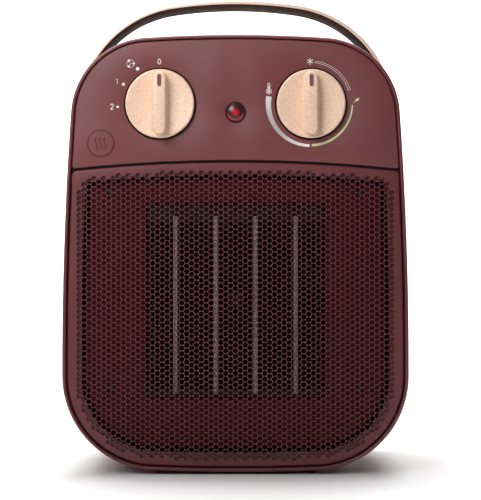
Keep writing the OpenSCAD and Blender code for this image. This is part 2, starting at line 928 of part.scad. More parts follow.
module on_lens() {
  translate([0, 0, lens_z]) rotate([90, 0, 0]) children();
}

ring_front = 58.6;
ring_in = 5.05;
ring_neck = 5.3;
ring_out = 5.55;
ring_seat = 58.05;
lens_r = 5;
lens_rise = 1.8;

module indicator_ring() {
  color(black) on_lens() rotate_extrude($fn = 64) polygon([
    [ring_in, 52], [ring_neck, 52], [ring_neck, ring_seat], [ring_out, ring_seat],
    [ring_out, ring_front - 0.2], [ring_out - 0.2, ring_front], [ring_in, ring_front]]);
}

module indicator_lens() {
  dome = [for (a = [0:15:90]) [lens_r * cos(a), ring_front - 0.2 + lens_rise * sin(a)]];
  color([0.7, 0.1, 0.12]) on_lens() rotate_extrude($fn = 64)
    polygon(concat([[0, 54], [lens_r, 54]], dome));
}

lamp_floor = 41;
lamp_r = 2.2;
lamp_h = 8.4;

module lamp_holder() {
  color(black) on_lens() difference() {
    translate([0, 0, lamp_floor - 3]) cylinder(r = 6, h = 13.8, $fn = 48);
    translate([0, 0, lamp_floor]) cylinder(r = lamp_r + 1, h = 12, $fn = 48);
  }
}

module indicator_lamp() {
  color([1, 0.6, 0.4]) on_lens() translate([0, 0, lamp_floor + 0.1]) {
    cylinder(r = lamp_r, h = lamp_h, $fn = 32);
    translate([0, 0, lamp_h]) intersection() {
      sphere(r = lamp_r, $fn = 32);
      cylinder(r = 3, h = 3, $fn = 32);
    }
  }
}

/* Tip-over switch, mains entry and leads */

collar_z = 14.4;
collar_t = 1.6;
pin_r = 1.5;
switch_foot = 4.1;
switch_low = 24;
switch_top = 42;

module tip_plunger() {
  color(white) translate([0, plunger_y, 0]) {
    cylinder(r = shaft_r, h = collar_z, $fn = 48);
    translate([0, 0, collar_z]) cylinder(r = 5, h = collar_t, $fn = 48);
    translate([0, 0, collar_z + collar_t]) cylinder(r = pin_r, h = 12, $fn = 32);
  }
}

module tip_switch_body() {
  color(black) translate([0, plunger_y, 0]) difference() {
    union() {
      block([-10, -6, switch_low], [10, 6, switch_top]);
      for (s = [-1, 1])
        block([s * 11.5 - 2, -5, switch_foot], [s * 11.5 + 2, 5, switch_top]);
    }
    translate([0, 0, switch_low - 1]) cylinder(r = pin_r + running, h = 7, $fn = 32);
  }
}

module tip_spring() {
  turns = 5;
  steps = 12;
  coil_r = 3.2;
  low = collar_z + collar_t + 0.5;
  rise = switch_low - 0.5 - low;
  coil = [for (i = [0:turns * steps]) let (a = 360 * i / steps)
    [coil_r * cos(a), coil_r * sin(a), low + rise * i / (turns * steps)]];
  color(steel) translate([0, plunger_y, 0]) swept(coil, 0.35, 6);
}

block_x = [14, 48];
block_y = [20, 38];
block_top = 21;
clamp_x = [19.5, 31, 42.5];
clamp_y = 29;
clamp_z = 14;
clamp_r = 2.5;

module terminal_block() {
  color(white) difference() {
    union() {
      block([block_x[0], block_y[0], 8], [block_x[1], block_y[1], block_top]);
      for (x = [20, 38]) block([x - 2, 25, 6.5], [x + 2, 33, 9]);
    }
    for (x = clamp_x) translate([x, clamp_y, clamp_z]) cylinder(r = clamp_r + 0.05, h = 10, $fn = 32);
  }
}

module terminal_screws() {
  color(brass) for (x = clamp_x) translate([x, clamp_y, clamp_z]) difference() {
    cylinder(r = clamp_r, h = 5.5, $fn = 32);
    block([-3, -0.4, 4.5], [3, 0.4, 6]);
  }
}

bush_bore_r = 4.2;
bush_d = 6;
clamp_front = 47;
clamp_back = 54;
clamp_half_w = 12;

module cord_bush() {
  color(black) translate([cord_x, 0, cord_z]) rotate([-90, 0, 0]) difference() {
    union() {
      translate([0, 0, rear_y - bush_d]) cylinder(r = bush_r - 0.02, h = bush_d, $fn = 64);
      translate([0, 0, rear_y - bush_d]) cylinder(r = bush_r + 1.4, h = 2.4, $fn = 64);
    }
    translate([0, 0, rear_y - 10]) cylinder(r = bush_bore_r, h = 20, $fn = 64);
  }
}

module cord_clamp() {
  color(black) {
    for (z = [[10.8, cord_z - 0.5], [cord_z + 0.5, cord_z + 7]]) difference() {
      block([cord_x - clamp_half_w, clamp_front, z[0]], [cord_x + clamp_half_w, clamp_back, z[1]]);
      rod(cord_x, cord_z, bush_bore_r - 0.2, clamp_front - 1, clamp_back + 1);
    }
  }
}

// Hand-laid routes of the leads
lead_r = 1;
feed = [[19.5, 25, 22.5], [18, 17, 29], [-20, 17, 31], [-44, 16, 41], [-58, 12, 58], [-68, 0, 105],
  [-66, -10, 150], [-54, -18, 180], [-47.7, -24.6, 193]];
motor_lead = [[42.5, 25, 22.5], [47, 14, 34], [56, 8, 60], [66, 4, 100], [62, 2, 140],
  [50, -8, 172], [46, -24.6, 193]];
link = [[-33.7, -24.6, 193], [-26, -20, 198], [0, -18, 201], [26, -20, 198], [33.7, -24.6, 193]];
core_lead = [[22, -36.4, 158], [24, -26, 164], [32, -18, 178], [35, -22, 188]];

module wiring() {
  color([0.75, 0.2, 0.15]) {
    swept(smooth(feed, 5), lead_r, 8);
    swept(smooth(motor_lead, 5), lead_r, 8);
    translate([0, 4, 12]) swept(smooth(link, 5), lead_r, 8);
    both_sides() swept(smooth(core_lead, 5), lead_r, 8);
  }
}

front_housing();
rear_housing();
control_panel();
front_grille();
handle();
handle_plates();
handle_screws();
housing_screws();
front_feet();
rear_feet();
filter_cover();
dust_filter();
baffle();
baffle_screws();
ptc_bars();
ptc_fins();
ptc_top_frame();
ptc_bottom_frame();
ptc_side_springs();
ptc_terminals();
thermal_cutout();
thermal_fuse();
fan_duct();
impeller();
impeller_clip();
motor_shaft();
motor_rotor();
motor_stator();
motor_coil();
motor_front_bracket();
motor_rear_bracket();
motor_bearings();
motor_screws();
motor_mount();
mode_knob();
mode_knob_mark();
mode_switch_shaft();
mode_switch_body();
thermostat_knob();
thermostat_knob_mark();
thermostat_shaft();
thermostat_body();
control_nuts();
control_terminals();
indicator_ring();
indicator_lens();
indicator_lamp();
lamp_holder();
tip_switch_body();
tip_plunger();
tip_spring();
terminal_block();
terminal_screws();
cord_bush();
cord_clamp();
wiring();
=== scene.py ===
import json
import math

import bmesh
import bpy
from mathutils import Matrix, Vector
from mathutils.geometry import delaunay_2d_cdt


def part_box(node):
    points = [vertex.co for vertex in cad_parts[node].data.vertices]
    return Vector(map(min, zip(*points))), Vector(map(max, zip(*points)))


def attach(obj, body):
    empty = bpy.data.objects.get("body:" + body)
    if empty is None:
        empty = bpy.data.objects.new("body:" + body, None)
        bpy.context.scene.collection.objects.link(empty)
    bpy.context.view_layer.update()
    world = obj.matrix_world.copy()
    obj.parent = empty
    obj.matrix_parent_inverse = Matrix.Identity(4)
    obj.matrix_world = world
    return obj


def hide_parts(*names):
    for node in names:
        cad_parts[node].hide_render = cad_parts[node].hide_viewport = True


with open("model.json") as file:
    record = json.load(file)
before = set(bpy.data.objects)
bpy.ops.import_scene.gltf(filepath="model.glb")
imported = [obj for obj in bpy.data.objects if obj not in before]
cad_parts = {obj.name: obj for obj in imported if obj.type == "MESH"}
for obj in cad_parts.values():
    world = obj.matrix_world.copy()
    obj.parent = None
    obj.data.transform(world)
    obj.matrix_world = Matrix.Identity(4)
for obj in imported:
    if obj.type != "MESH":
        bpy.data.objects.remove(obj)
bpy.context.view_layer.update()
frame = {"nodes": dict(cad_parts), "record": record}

# Lengths are in millimetres until a mesh is made.
MM = 0.001


def box_mm(node):
    low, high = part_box(node)
    return low / MM, high / MM


def middle_mm(node):
    low, high = box_mm(node)
    return [(low[i] + high[i]) / 2 for i in range(3)]


# ---- outline

FRONT_LOW, FRONT_HIGH = box_mm("front_housing")
HALF_W = FRONT_HIGH.x
BASE_Z = FRONT_LOW.z
CROWN_Z = FRONT_HIGH.z
FRONT_Y = FRONT_LOW.y
SEAM_Y = FRONT_HIGH.y
REAR_Y = box_mm("rear_housing")[1].y
WALL = 2.4

# Arcs of the housing outline, as in the CAD
SIDE_R = 1955
SIDE_Z = 59
BASE_R = 1100
CROWN_R = 750
LOW_CORNER_R = 50.8
TOP_CORNER_R = 42.7

# Arched gap between the control panel and the grille
SPLIT_R = 829
SPLIT_Z = 168.9
SPLIT_GAP = 1.25

side_c = Vector((HALF_W - SIDE_R, SIDE_Z))
base_c = Vector((0, BASE_Z + BASE_R))
crown_c = Vector((0, CROWN_Z - CROWN_R))
split_c = Vector((0, SPLIT_Z - SPLIT_R))


def meet(p, rp, q, rq, side):
    """Crossing of two circles, on one side of the line between their centres."""
    d = (q - p).length
    a = (rp * rp - rq * rq + d * d) / (2 * d)
    h = math.sqrt(rp * rp - a * a)
    u = (q - p) / d
    return p + a * u + side * h * Vector((-u.y, u.x))


def angle_to(a, b):
    return math.atan2(b.y - a.y, b.x - a.x)


def arc(c, r, a0, a1, n):
    """n + 1 points on an arc, from angle a0 to a1 in radians."""
    angles = [a0 + (a1 - a0) * i / n for i in range(n + 1)]
    return [c + r * Vector((math.cos(a), math.sin(a))) for a in angles]


low_c = meet(side_c, SIDE_R - LOW_CORNER_R, base_c, BASE_R - LOW_CORNER_R, -1)
top_c = meet(side_c, SIDE_R - TOP_CORNER_R, crown_c, CROWN_R - TOP_CORNER_R, 1)


def mirrored(loop):
    return [Vector((-p.x, p.y)) for p in reversed(loop)]


def outline(d):
    """The housing outline in X and Z moved in by d, anticlockwise seen from the front."""
    corner = 24
    half = arc(base_c, BASE_R - d, -math.pi / 2, angle_to(base_c, low_c), 6)
    half += arc(low_c, LOW_CORNER_R - d, angle_to(base_c, low_c), angle_to(side_c, low_c), corner)[1:]
    half += arc(side_c, SIDE_R - d, angle_to(side_c, low_c), angle_to(side_c, top_c), 10)[1:]
    half += arc(top_c, TOP_CORNER_R - d, angle_to(side_c, top_c), angle_to(crown_c, top_c), corner)[1:]
    half += arc(crown_c, CROWN_R - d, angle_to(crown_c, top_c), math.pi / 2, 6)[1:]
    return half + mirrored(half[1:-1])


def circle(x, z, r, n):
    return arc(Vector((x, z)), r, 0, 2 * math.pi, n)[:-1]


def rounded_box(x0, x1, z0, z1, r, n=6):
    corners = [((x1 - r, z0 + r), -90), ((x1 - r, z1 - r), 0),
               ((x0 + r, z1 - r), 90), ((x0 + r, z0 + r), 180)]
    loop = []
    for centre, start in corners:
        loop += arc(Vector(centre), r, math.radians(start), math.radians(start + 90), n)
    return loop


def offset_loop(loop, d):
    """A closed anticlockwise loop moved in by d, or out where d is negative."""
    moved = []
    for i, point in enumerate(loop):
        e = (point - loop[i - 1]).normalized()
        f = (loop[(i + 1) % len(loop)] - point).normalized()
        n1 = Vector((-e.y, e.x))
        n2 = Vector((-f.y, f.x))
        moved.append(point + (n1 + n2) * (d / (1 + n1.dot(n2))))
    return moved


def split_height(x, shift):
    """Height at x of the arched gap's middle line, moved up by shift."""
    return split_c.y + math.sqrt((SPLIT_R + shift) ** 2 - x * x)


def split_region(inset, shift, corner_r, above):
    """The part of the outline above or below the arched split, with rounded corners there."""
    sign = 1 if above else -1
    # How much further out the outline runs within the height of a corner
    widening = 0.05
    steps = 30
    full = outline(inset)

    def clearance(p):
        return (p.y - split_height(p.x, shift)) * sign

    first = next(i for i, p in enumerate(full) if clearance(p) > 0 and clearance(full[i - 1]) <= 0)
    keep = [p for p in full[first:] + full[:first] if clearance(p) > corner_r]
    centre_x = max(abs(keep[0].x), abs(keep[-1].x)) + widening - corner_r
    right_c = Vector((centre_x, split_height(centre_x, shift) + sign * corner_r))
    left_c = Vector((-right_c.x, right_c.y))
    across = [Vector((x, split_height(x, shift)))
              for x in [left_c.x + (right_c.x - left_c.x) * i / steps for i in range(1, steps)]]
    if above:
        left = arc(left_c, corner_r, math.pi, 1.5 * math.pi, 5)
        right = arc(right_c, corner_r, -0.5 * math.pi, 0, 5)
        return keep + left + across + right
    right = arc(right_c, corner_r, 0, 0.5 * math.pi, 5)
    left = arc(left_c, corner_r, 0.5 * math.pi, math.pi, 5)
    return keep + right + across[::-1] + left


# ---- meshes

def make(name, points, faces, material, body="housing", stands_for=(), sharp=35):
    """A mesh piece that rides on a body. Faces are turned outward and shaded smooth up to the sharp angle."""
    mesh = bpy.data.meshes.new(name)
    mesh.from_pydata([Vector(p) * MM for p in points], [], faces)
    bm = bmesh.new()
    bm.from_mesh(mesh)
    bmesh.ops.recalc_face_normals(bm, faces=bm.faces)
    bm.to_mesh(mesh)
    bm.free()
    piece = bpy.data.objects.new(name, mesh)
    bpy.context.scene.collection.objects.link(piece)
    if material:
        mesh.materials.append(material)
    soften(piece, sharp)
    if body:
        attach(piece, body)
    if stands_for:
        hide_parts(*stands_for)
    return piece


def soften(piece, sharp):
    """Smooth shading, with a crease wherever two faces meet at more than the sharp angle."""
    piece.data.polygons.foreach_set("use_smooth", [True] * len(piece.data.polygons))
    piece.data.set_sharp_from_angle(angle=math.radians(sharp))


def loft(rings, closed_path=False, caps=True):
    """Points and faces of a surface through rings of equal length."""
    n = len(rings[0])
    m = len(rings)
    points = [p for ring in rings for p in ring]
    faces = []
    for j in range(m if closed_path else m - 1):
        k = (j + 1) % m
        for i in range(n):
            i2 = (i + 1) % n
            faces.append((j * n + i, j * n + i2, k * n + i2, k * n + i))
    if caps and not closed_path:
        faces.append(tuple(range(n)))
        faces.append(tuple((m - 1) * n + i for i in range(n)))
    return points, faces


def joined(*parts):
    """Several (points, faces) pairs as one."""
    points, faces = [], []
    for p, f in parts:
        faces += [tuple(i + len(points) for i in face) for face in f]
        points += p
    return points, faces


def upright(loop, y):
    """A loop in X and Z placed at one y."""
    return [(p.x, y, p.y) for p in loop]


def ring_shell(section):
    """A closed shell whose cross-section of (inset, y) pairs is carried round the outline."""
    return loft([upright(outline(d), y) for d, y in section], closed_path=True)


def quarter_turn(steps, first=0):
    """Angles from 0 to 90 degrees in equal steps, from a first step on."""
    return [math.pi / 2 * i / steps for i in range(first, steps + 1)]


def quarter(r, steps):
    """(inset, depth) pairs of a rounded edge, from the face round to the side."""
    return [(r * (1 - math.sin(t)), r * (1 - math.cos(t))) for t in quarter_turn(steps)]


def plate(outer, holes, y0, y1, edge=0.6, edge_steps=3, hole_edge=0.2, hole_steps=1):
    """Points and faces of a flat plate that faces -Y, with rounded edges and round-edged holes."""
    points, faces, front, back, loop_of = [], [], [], [], []
    for k, loop in enumerate([outer] + holes):
        sign = 1 if k == 0 else -1
        rim = quarter(edge, edge_steps) if k == 0 else quarter(hole_edge, hole_steps)
        rings = [upright(offset_loop(loop, sign * d), y0 + depth) for d, depth in rim]
        rings.append(upright(loop, y1))
        start = len(points)
        p, f = loft(rings, caps=False)
        points += p
        faces += [tuple(start + i for i in face) for face in f]
        n = len(loop)
        front += list(range(start, start + n))
        back += list(range(start + (len(rings) - 1) * n, start + len(rings) * n))
        loop_of += [k] * n
    flat = [Vector((points[i][0], points[i][2])) for i in front]
    edges = []
    base = 0
    for loop in [outer] + holes:
        edges += [(base + i, base + (i + 1) % len(loop)) for i in range(len(loop))]
        base += len(loop)
    _, _, tris, source, _, _ = delaunay_2d_cdt(flat, edges, [], 1, 1e-5)
    first = [s[0] for s in source]
    for tri in tris:
        ids = [first[i] for i in tri]
        if loop_of[ids[0]] and len({loop_of[i] for i in ids}) == 1:
            continue
        faces.append(tuple(front[i] for i in ids))
        faces.append(tuple(back[i] for i in reversed(ids)))
    return points, faces


def cylinder(x, z, r, y0, y1, n=32):
    """A cylinder along Y."""
    return loft([upright(circle(x, z, r, n), y0), upright(circle(x, z, r, n), y1)])


def pillar(x, y, r, z0, z1, n):
    """A cylinder along Z."""
    return loft([[(p.x, p.y, z) for p in circle(x, y, r, n)] for z in (z0, z1)])


def revolve(profile, centre, n=96):
    """Turns (radius, y) pairs about an axis along Y through centre = (x, z). Both ends lie on the axis."""
    points, faces, rings = [], [], []
    for r, y in profile:
        loop = upright(circle(centre[0], centre[1], r, n), y) if r else [(centre[0], y, centre[1])]
        rings.append(range(len(points), len(points) + len(loop)))
        points += loop
    for a, b in zip(rings, rings[1:]):
        for i in range(n):
            j = (i + 1) % n
            corners = (a[i % len(a)], a[j % len(a)], b[j % len(b)], b[i % len(b)])
            faces.append(tuple(dict.fromkeys(corners)))
    return points, faces


def combine(piece, parts, operation):
    """Adds or cuts away solids given as (points, faces), and keeps the piece's own material."""
    for i, (points, faces) in enumerate(parts):
        tool = make(f"tool_{i}", points, faces, None, body=None)
        change = piece.modifiers.new("change", "BOOLEAN")
        change.operation = operation
        change.solver = "EXACT"
        change.object = tool
        bpy.context.view_layer.update()
        shaped = bpy.data.meshes.new_from_object(piece.evaluated_get(bpy.context.evaluated_depsgraph_get()))
        piece.modifiers.remove(change)
        old = piece.data
        piece.data = shaped
        bpy.data.meshes.remove(old)
        bpy.data.objects.remove(tool)


# ---- materials

# Noise textures stay mostly between these two values.
TEXTURE_LOW = 0.3
TEXTURE_HIGH = 0.7
# Depth of the finest grain
FINE_GRAIN = 0.02 * MM


def new_material(name):
    """A material with its nodes, its links and its shader node."""
    material = bpy.data.materials.new(name)
    material.use_nodes = True
    nodes = material.node_tree.nodes
    return material, nodes, material.node_tree.links, nodes["Principled BSDF"]


def add(nodes, kind, **inputs):
    """A new node with some of its inputs set. In their names an underscore stands for a space."""
    node = nodes.new("ShaderNode" + kind)
    for name, value in inputs.items():
        node.inputs[name.replace("_", " ")].default_value = value
    return node


def calculated(nodes, links, kind, operation, *values):
    """A Math or VectorMath node. Each of its values is a socket or plain."""
    node = add(nodes, kind)
    node.operation = operation
    for value, socket in zip(values, node.inputs):
        if isinstance(value, bpy.types.NodeSocket):
            links.new(value, socket)
        else:
            socket.default_value = value
    return node


def own_coords(nodes):
    return add(nodes, "TexCoord").outputs["Object"]


def noise(nodes, links, scale, detail):
    texture = add(nodes, "TexNoise", Scale=scale, Detail=detail)
    links.new(own_coords(nodes), texture.inputs["Vector"])
    return texture.outputs["Fac"]


def spread(nodes, links, source, low, high):
    """Maps a 0 to 1 texture to the range from low to high."""
    mapping = add(nodes, "MapRange", From_Min=TEXTURE_LOW, From_Max=TEXTURE_HIGH, To_Min=low, To_Max=high)
    links.new(source, mapping.inputs["Value"])
    return mapping.outputs["Result"]


def bands(nodes, links, source, stops):
    """A colour ramp with (place, colour) stops."""
    ramp = add(nodes, "ValToRGB")
    elements = ramp.color_ramp.elements
    while len(elements) < len(stops):
        elements.new(0.5)
    for element, (place, colour) in zip(elements, stops):
        element.position = place
        element.color = (*colour, 1)
    links.new(source, ramp.inputs["Fac"])
    return ramp.outputs["Color"]


def shade_between(nodes, links, source, dark, light):
    return bands(nodes, links, source, [(TEXTURE_LOW, dark), (TEXTURE_HIGH, light)])


def bump(nodes, links, shader, source, strength, distance):
    node = add(nodes, "Bump", Strength=strength, Distance=distance)
    links.new(source, node.inputs["Height"])
    links.new(node.outputs["Normal"], shader.inputs["Normal"])


def around(colour, part):
    """The colour darkened and lightened by a part of itself."""
    return [c * (1 - part) for c in colour], [min(1, c * (1 + part)) for c in colour]


def moulded(name, colour, roughness, grain=1600, gloss=0.5):
    """Moulded plastic: slight cloudiness, uneven gloss and a fine spark-eroded grain."""
    material, nodes, links, shader = new_material(name)
    clouds = noise(nodes, links, 22, 4)
    dark, light = around(colour, 0.06)
    links.new(shade_between(nodes, links, clouds, dark, light), shader.inputs["Base Color"])
    patches = noise(nodes, links, 60, 5)
    links.new(spread(nodes, links, patches, roughness - 0.04, roughness + 0.05),
              shader.inputs["Roughness"])
    fine = noise(nodes, links, grain, 2)
    bump(nodes, links, shader, fine, 0.35, FINE_GRAIN)
    shader.inputs["Specular IOR Level"].default_value = gloss
    return material


def flaked(name, colour, metallic, roughness):
    """Metallic lacquer: small flakes that differ in tone and tilt."""
    material, nodes, links, shader = new_material(name)
    cells = add(nodes, "TexVoronoi", Scale=2600)
    links.new(own_coords(nodes), cells.inputs["Vector"])
    tone = add(nodes, "SeparateColor")
    links.new(cells.outputs["Color"], tone.inputs["Color"])
    dark, light = around(colour, 0.1)
    links.new(shade_between(nodes, links, tone.outputs["Red"], dark, light), shader.inputs["Base Color"])
    shader.inputs["Metallic"].default_value = metallic
    links.new(spread(nodes, links, tone.outputs["Green"], roughness - 0.08, roughness + 0.1),
              shader.inputs["Roughness"])
    bump(nodes, links, shader, tone.outputs["Blue"], 0.25, FINE_GRAIN)
    return material


def metal(name, colour, roughness, streak=(1, 1, 1), scale=900):
    """Bare metal with fine drawn or rolled marks stretched along one direction."""
    material, nodes, links, shader = new_material(name)
    stretch = add(nodes, "Mapping", Scale=streak)
    links.new(own_coords(nodes), stretch.inputs["Vector"])
    marks = add(nodes, "TexNoise", Scale=scale, Detail=4)
    links.new(stretch.outputs["Vector"], marks.inputs["Vector"])
    dark = [c * 0.85 for c in colour]
    links.new(shade_between(nodes, links, marks.outputs["Fac"], dark, colour), shader.inputs["Base Color"])
    shader.inputs["Metallic"].default_value = 1.0
    links.new(spread(nodes, links, marks.outputs["Fac"], roughness - 0.06, roughness + 0.08),
              shader.inputs["Roughness"])
    bump(nodes, links, shader, marks.outputs["Fac"], 0.15, FINE_GRAIN / 2)
    return material


BURGUNDY = (0.145, 0.021, 0.025)
housing_mat = moulded("housing_plastic", BURGUNDY, 0.4, gloss=0.7)
panel_mat = moulded("panel_plastic", BURGUNDY, 0.52, gloss=0.75)
grille_mat = moulded("grille_plastic", (0.128, 0.017, 0.021), 0.45, gloss=0.6)
# Darker than the panel plastic, as painted shade on the low raised symbol
symbol_shade_mat = moulded("symbol_shaded_plastic", (0.095, 0.011, 0.014), 0.55)
baffle_mat = moulded("baffle_plastic", (0.1, 0.008, 0.012), 0.65, gloss=0.2)
mark_mat = moulded("mark_plastic", (0.18, 0.058, 0.058), 0.5)
champagne_mat = flaked("champagne_paint", (0.86, 0.6, 0.445), 0.2, 0.45)
strap_mat = flaked("champagne_metal", (0.93, 0.72, 0.58), 0.45, 0.38)
# Dark brown that paints the shade on the strap's underside
strap_shade_mat = moulded("strap_painted_shade", (0.075, 0.038, 0.019), 0.8, gloss=0.1)
black_mat = moulded("black_plastic", (0.006, 0.0055, 0.0055), 0.5, gloss=0.25)
white_mat = moulded("white_plastic", (0.62, 0.6, 0.55), 0.45)
ceramic_mat = moulded("white_ceramic", (0.7, 0.68, 0.62), 0.6, grain=900)
rubber_mat = moulded("black_rubber", (0.015, 0.014, 0.014), 0.7, grain=900)
lead_mat = moulded("lead_insulation", (0.35, 0.03, 0.02), 0.55)
steel_mat = metal("steel", (0.6, 0.6, 0.6), 0.3, (1, 1, 8))
stack_mat = metal("lamination_steel", (0.22, 0.23, 0.25), 0.4, (0.2, 12, 0.2), 600)
alloy_mat = metal("aluminium", (0.62, 0.6, 0.57), 0.38, (6, 6, 0.5))
bar_mat = moulded("core_bar_coating", (0.42, 0.38, 0.37), 0.6)
fin_mat = metal("dark_fins", (0.05, 0.045, 0.045), 0.45)
brass_mat = metal("brass", (0.72, 0.52, 0.25), 0.3)
coil_mat = metal("copper_winding", (0.55, 0.2, 0.08), 0.35, (0.3, 0.3, 14), 500)
print_mat = moulded("print_white", (0.88, 0.82, 0.8), 0.5)
green_mat = moulded("print_green", (0.56, 0.6, 0.3), 0.5)


def from_point(nodes, links, point):
    """X and Z of the shaded place, measured from a point in metres, as two sockets."""
    shift = calculated(nodes, links, "VectorMath", "SUBTRACT", own_coords(nodes), point)
    parts = add(nodes, "SeparateXYZ")
    links.new(shift.outputs["Vector"], parts.inputs["Vector"])
    return parts.outputs["X"], parts.outputs["Z"]


def joined_vector(nodes, links, x, y):
    """Two sockets as one vector."""
    vector = add(nodes, "CombineXYZ")
    links.new(x, vector.inputs["X"])
    links.new(y, vector.inputs["Y"])
    return vector.outputs["Vector"]


def lens_material():
    """Smoky red plastic with the lamp showing as a bright core, and light caught along the lower rim."""
    material, nodes, links, shader = new_material("red_lens")
    low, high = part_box("indicator_lens")
    x, z = from_point(nodes, links, (low + high) / 2)
    length = calculated(nodes, links, "VectorMath", "LENGTH", joined_vector(nodes, links, x, z))
    part = calculated(nodes, links, "Math", "DIVIDE", length.outputs["Value"], (high.x - low.x) / 2)
    core = (0.5, 0.008, 0.02)
    smoke = (0.035, 0.009, 0.01)
    glow = (0.33, 0.012, 0.025)
    inner_part = [(0.16, core), (0.5, smoke)]
    upper = bands(nodes, links, part.outputs["Value"],
                  inner_part + [(0.88, smoke), (0.97, (0.08, 0.004, 0.008))])
    lower = bands(nodes, links, part.outputs["Value"],
                  inner_part + [(0.66, smoke), (0.8, glow), (0.97, (0.1, 0.005, 0.01))])
    side = add(nodes, "MapRange", From_Min=0.3 * MM, From_Max=-2.2 * MM)
    links.new(z, side.inputs["Value"])
    mix = add(nodes, "Mix")
    mix.data_type = "RGBA"
    links.new(side.outputs["Result"], mix.inputs["Factor"])
    links.new(upper, mix.inputs["A"])
    links.new(lower, mix.inputs["B"])
    links.new(mix.outputs["Result"], shader.inputs["Base Color"])
    links.new(mix.outputs["Result"], shader.inputs["Emission Color"])
    shader.inputs["Emission Strength"].default_value = 0.15
    ribs = noise(nodes, links, 900, 2)
    links.new(spread(nodes, links, ribs, 0.2, 0.28), shader.inputs["Roughness"])
    bump(nodes, links, shader, ribs, 0.1, FINE_GRAIN)
    return material


lens_mat = lens_material()


def net_material():
    """Fine woven net: two crossing bands of thread."""
    thread = 0.2 * MM
    material, nodes, links, shader = new_material("filter_net")
    coords = own_coords(nodes)
    heights = []
    for direction in ("X", "Z"):
        wave = add(nodes, "TexWave", Scale=160)
        wave.bands_direction = direction
        links.new(coords, wave.inputs["Vector"])
        heights.append(wave.outputs["Fac"])
    both = calculated(nodes, links, "Math", "MAXIMUM", *heights)
    links.new(shade_between(nodes, links, both.outputs["Value"], (0.004, 0.004, 0.004), (0.06, 0.06, 0.06)),
              shader.inputs["Base Color"])
    shader.inputs["Roughness"].default_value = 0.75
    bump(nodes, links, shader, both.outputs["Value"], 0.6, thread)
    return material


net_mat = net_material()


def arc_material(centre):
    """Print that fades from white to grey and part of the way back, round a centre at (x, z)."""
    material, nodes, links, shader = new_material("print_grey")
    x, z = from_point(nodes, links, (centre[0] * MM, 0, centre[1] * MM))
    flip = calculated(nodes, links, "Math", "MULTIPLY", x, -1)
    turn = add(nodes, "TexGradient")
    turn.gradient_type = "RADIAL"
    links.new(joined_vector(nodes, links, flip.outputs["Value"], z), turn.inputs["Vector"])
    colour = bands(nodes, links, turn.outputs["Fac"],
                   [(0.26, (0.85, 0.8, 0.78)), (0.38, (0.4, 0.37, 0.36)), (0.45, (0.42, 0.39, 0.38)),
                    (0.53, (0.72, 0.68, 0.66))])
    links.new(colour, shader.inputs["Base Color"])
    grain = noise(nodes, links, 1600, 2)
    links.new(spread(nodes, links, grain, 0.45, 0.6), shader.inputs["Roughness"])
    bump(nodes, links, shader, grain, 0.3, FINE_GRAIN / 2)
    return material


# ---- housing

RIM_W = 1.9
# Ledge behind the rim, on which panel and grille lie
FLANGE_INSET = 10.1
FLANGE_FRONT = FRONT_Y + 3.2
FLANGE_BACK = FRONT_Y + 4.8
RAIL_LOW = -7.2
RAIL_HIGH = 5
# (x, z) of the screws that join the halves, on the right-hand side
HOUSING_SCREWS = ((68, 183), (60, 36))
SEAM_BEVEL = 0.6


def arched_bar(inset, low, high, y0, y1):
    """A bar along the arched gap, from low to high off its middle line, that ends inside the outline."""
    reach = HALF_W - (SPLIT_Z - SIDE_Z) ** 2 / (2 * SIDE_R) - inset
    steps = 40
    across = [reach * (2 * i / steps - 1) for i in range(steps + 1)]
    loop = [Vector((x, split_height(x, low))) for x in across]
    loop += [Vector((x, split_height(x, high))) for x in reversed(across)]
    return loft([upright(loop, y0), upright(loop, y1)])


def gap_shade_strip():
    """Black strip on flange and rail behind the gap all round the grille, as painted shade that makes the gap
    read dark.
    """
    half_w = 1.6
    outer = split_region(RIM_W + 0.05, half_w, 1, False)
    inner = split_region(3.6, -half_w, 1, False)
    points, faces = plate(outer, [inner], FLANGE_FRONT - 0.16, FLANGE_FRONT + 0.12,
                          edge=0.05, edge_steps=1, hole_edge=0.05)
    make("gap_shade_strip", points, faces, black_mat, "housing")


def front_shell():
    crest = 1.1
    crest_depth = 1.5
    inner = RIM_W - crest
    lip = [(RIM_W, FLANGE_FRONT), (RIM_W, FRONT_Y + inner)]
    lip += [(crest + inner * math.cos(t), FRONT_Y + inner * (1 - math.sin(t))) for t in quarter_turn(5, 1)]
    lip += [(crest * (1 - math.sin(t)), FRONT_Y + crest_depth * (1 - math.cos(t)))
            for t in quarter_turn(7, 1)]
    section = [(SEAM_BEVEL, SEAM_Y), (WALL, SEAM_Y), (WALL, FLANGE_BACK), (FLANGE_INSET, FLANGE_BACK),
               (FLANGE_INSET, FLANGE_FRONT)] + lip
    section += [(0, FRONT_Y + 12), (0, FRONT_Y + 26), (0, SEAM_Y - SEAM_BEVEL)]
    points, faces = ring_shell(section)
    rail = arched_bar(FLANGE_INSET - 1, RAIL_LOW, RAIL_HIGH, FLANGE_FRONT + 0.1, FLANGE_BACK - 0.1)
    post_r = 5
    post_front = -38
    posts = [cylinder(side * x, z, post_r, post_front, SEAM_Y) for side in (-1, 1) for x, z in HOUSING_SCREWS]
    points, faces = joined((points, faces), rail, *posts)
    make("front_shell", points, faces, housing_mat, stands_for=("front_housing",))


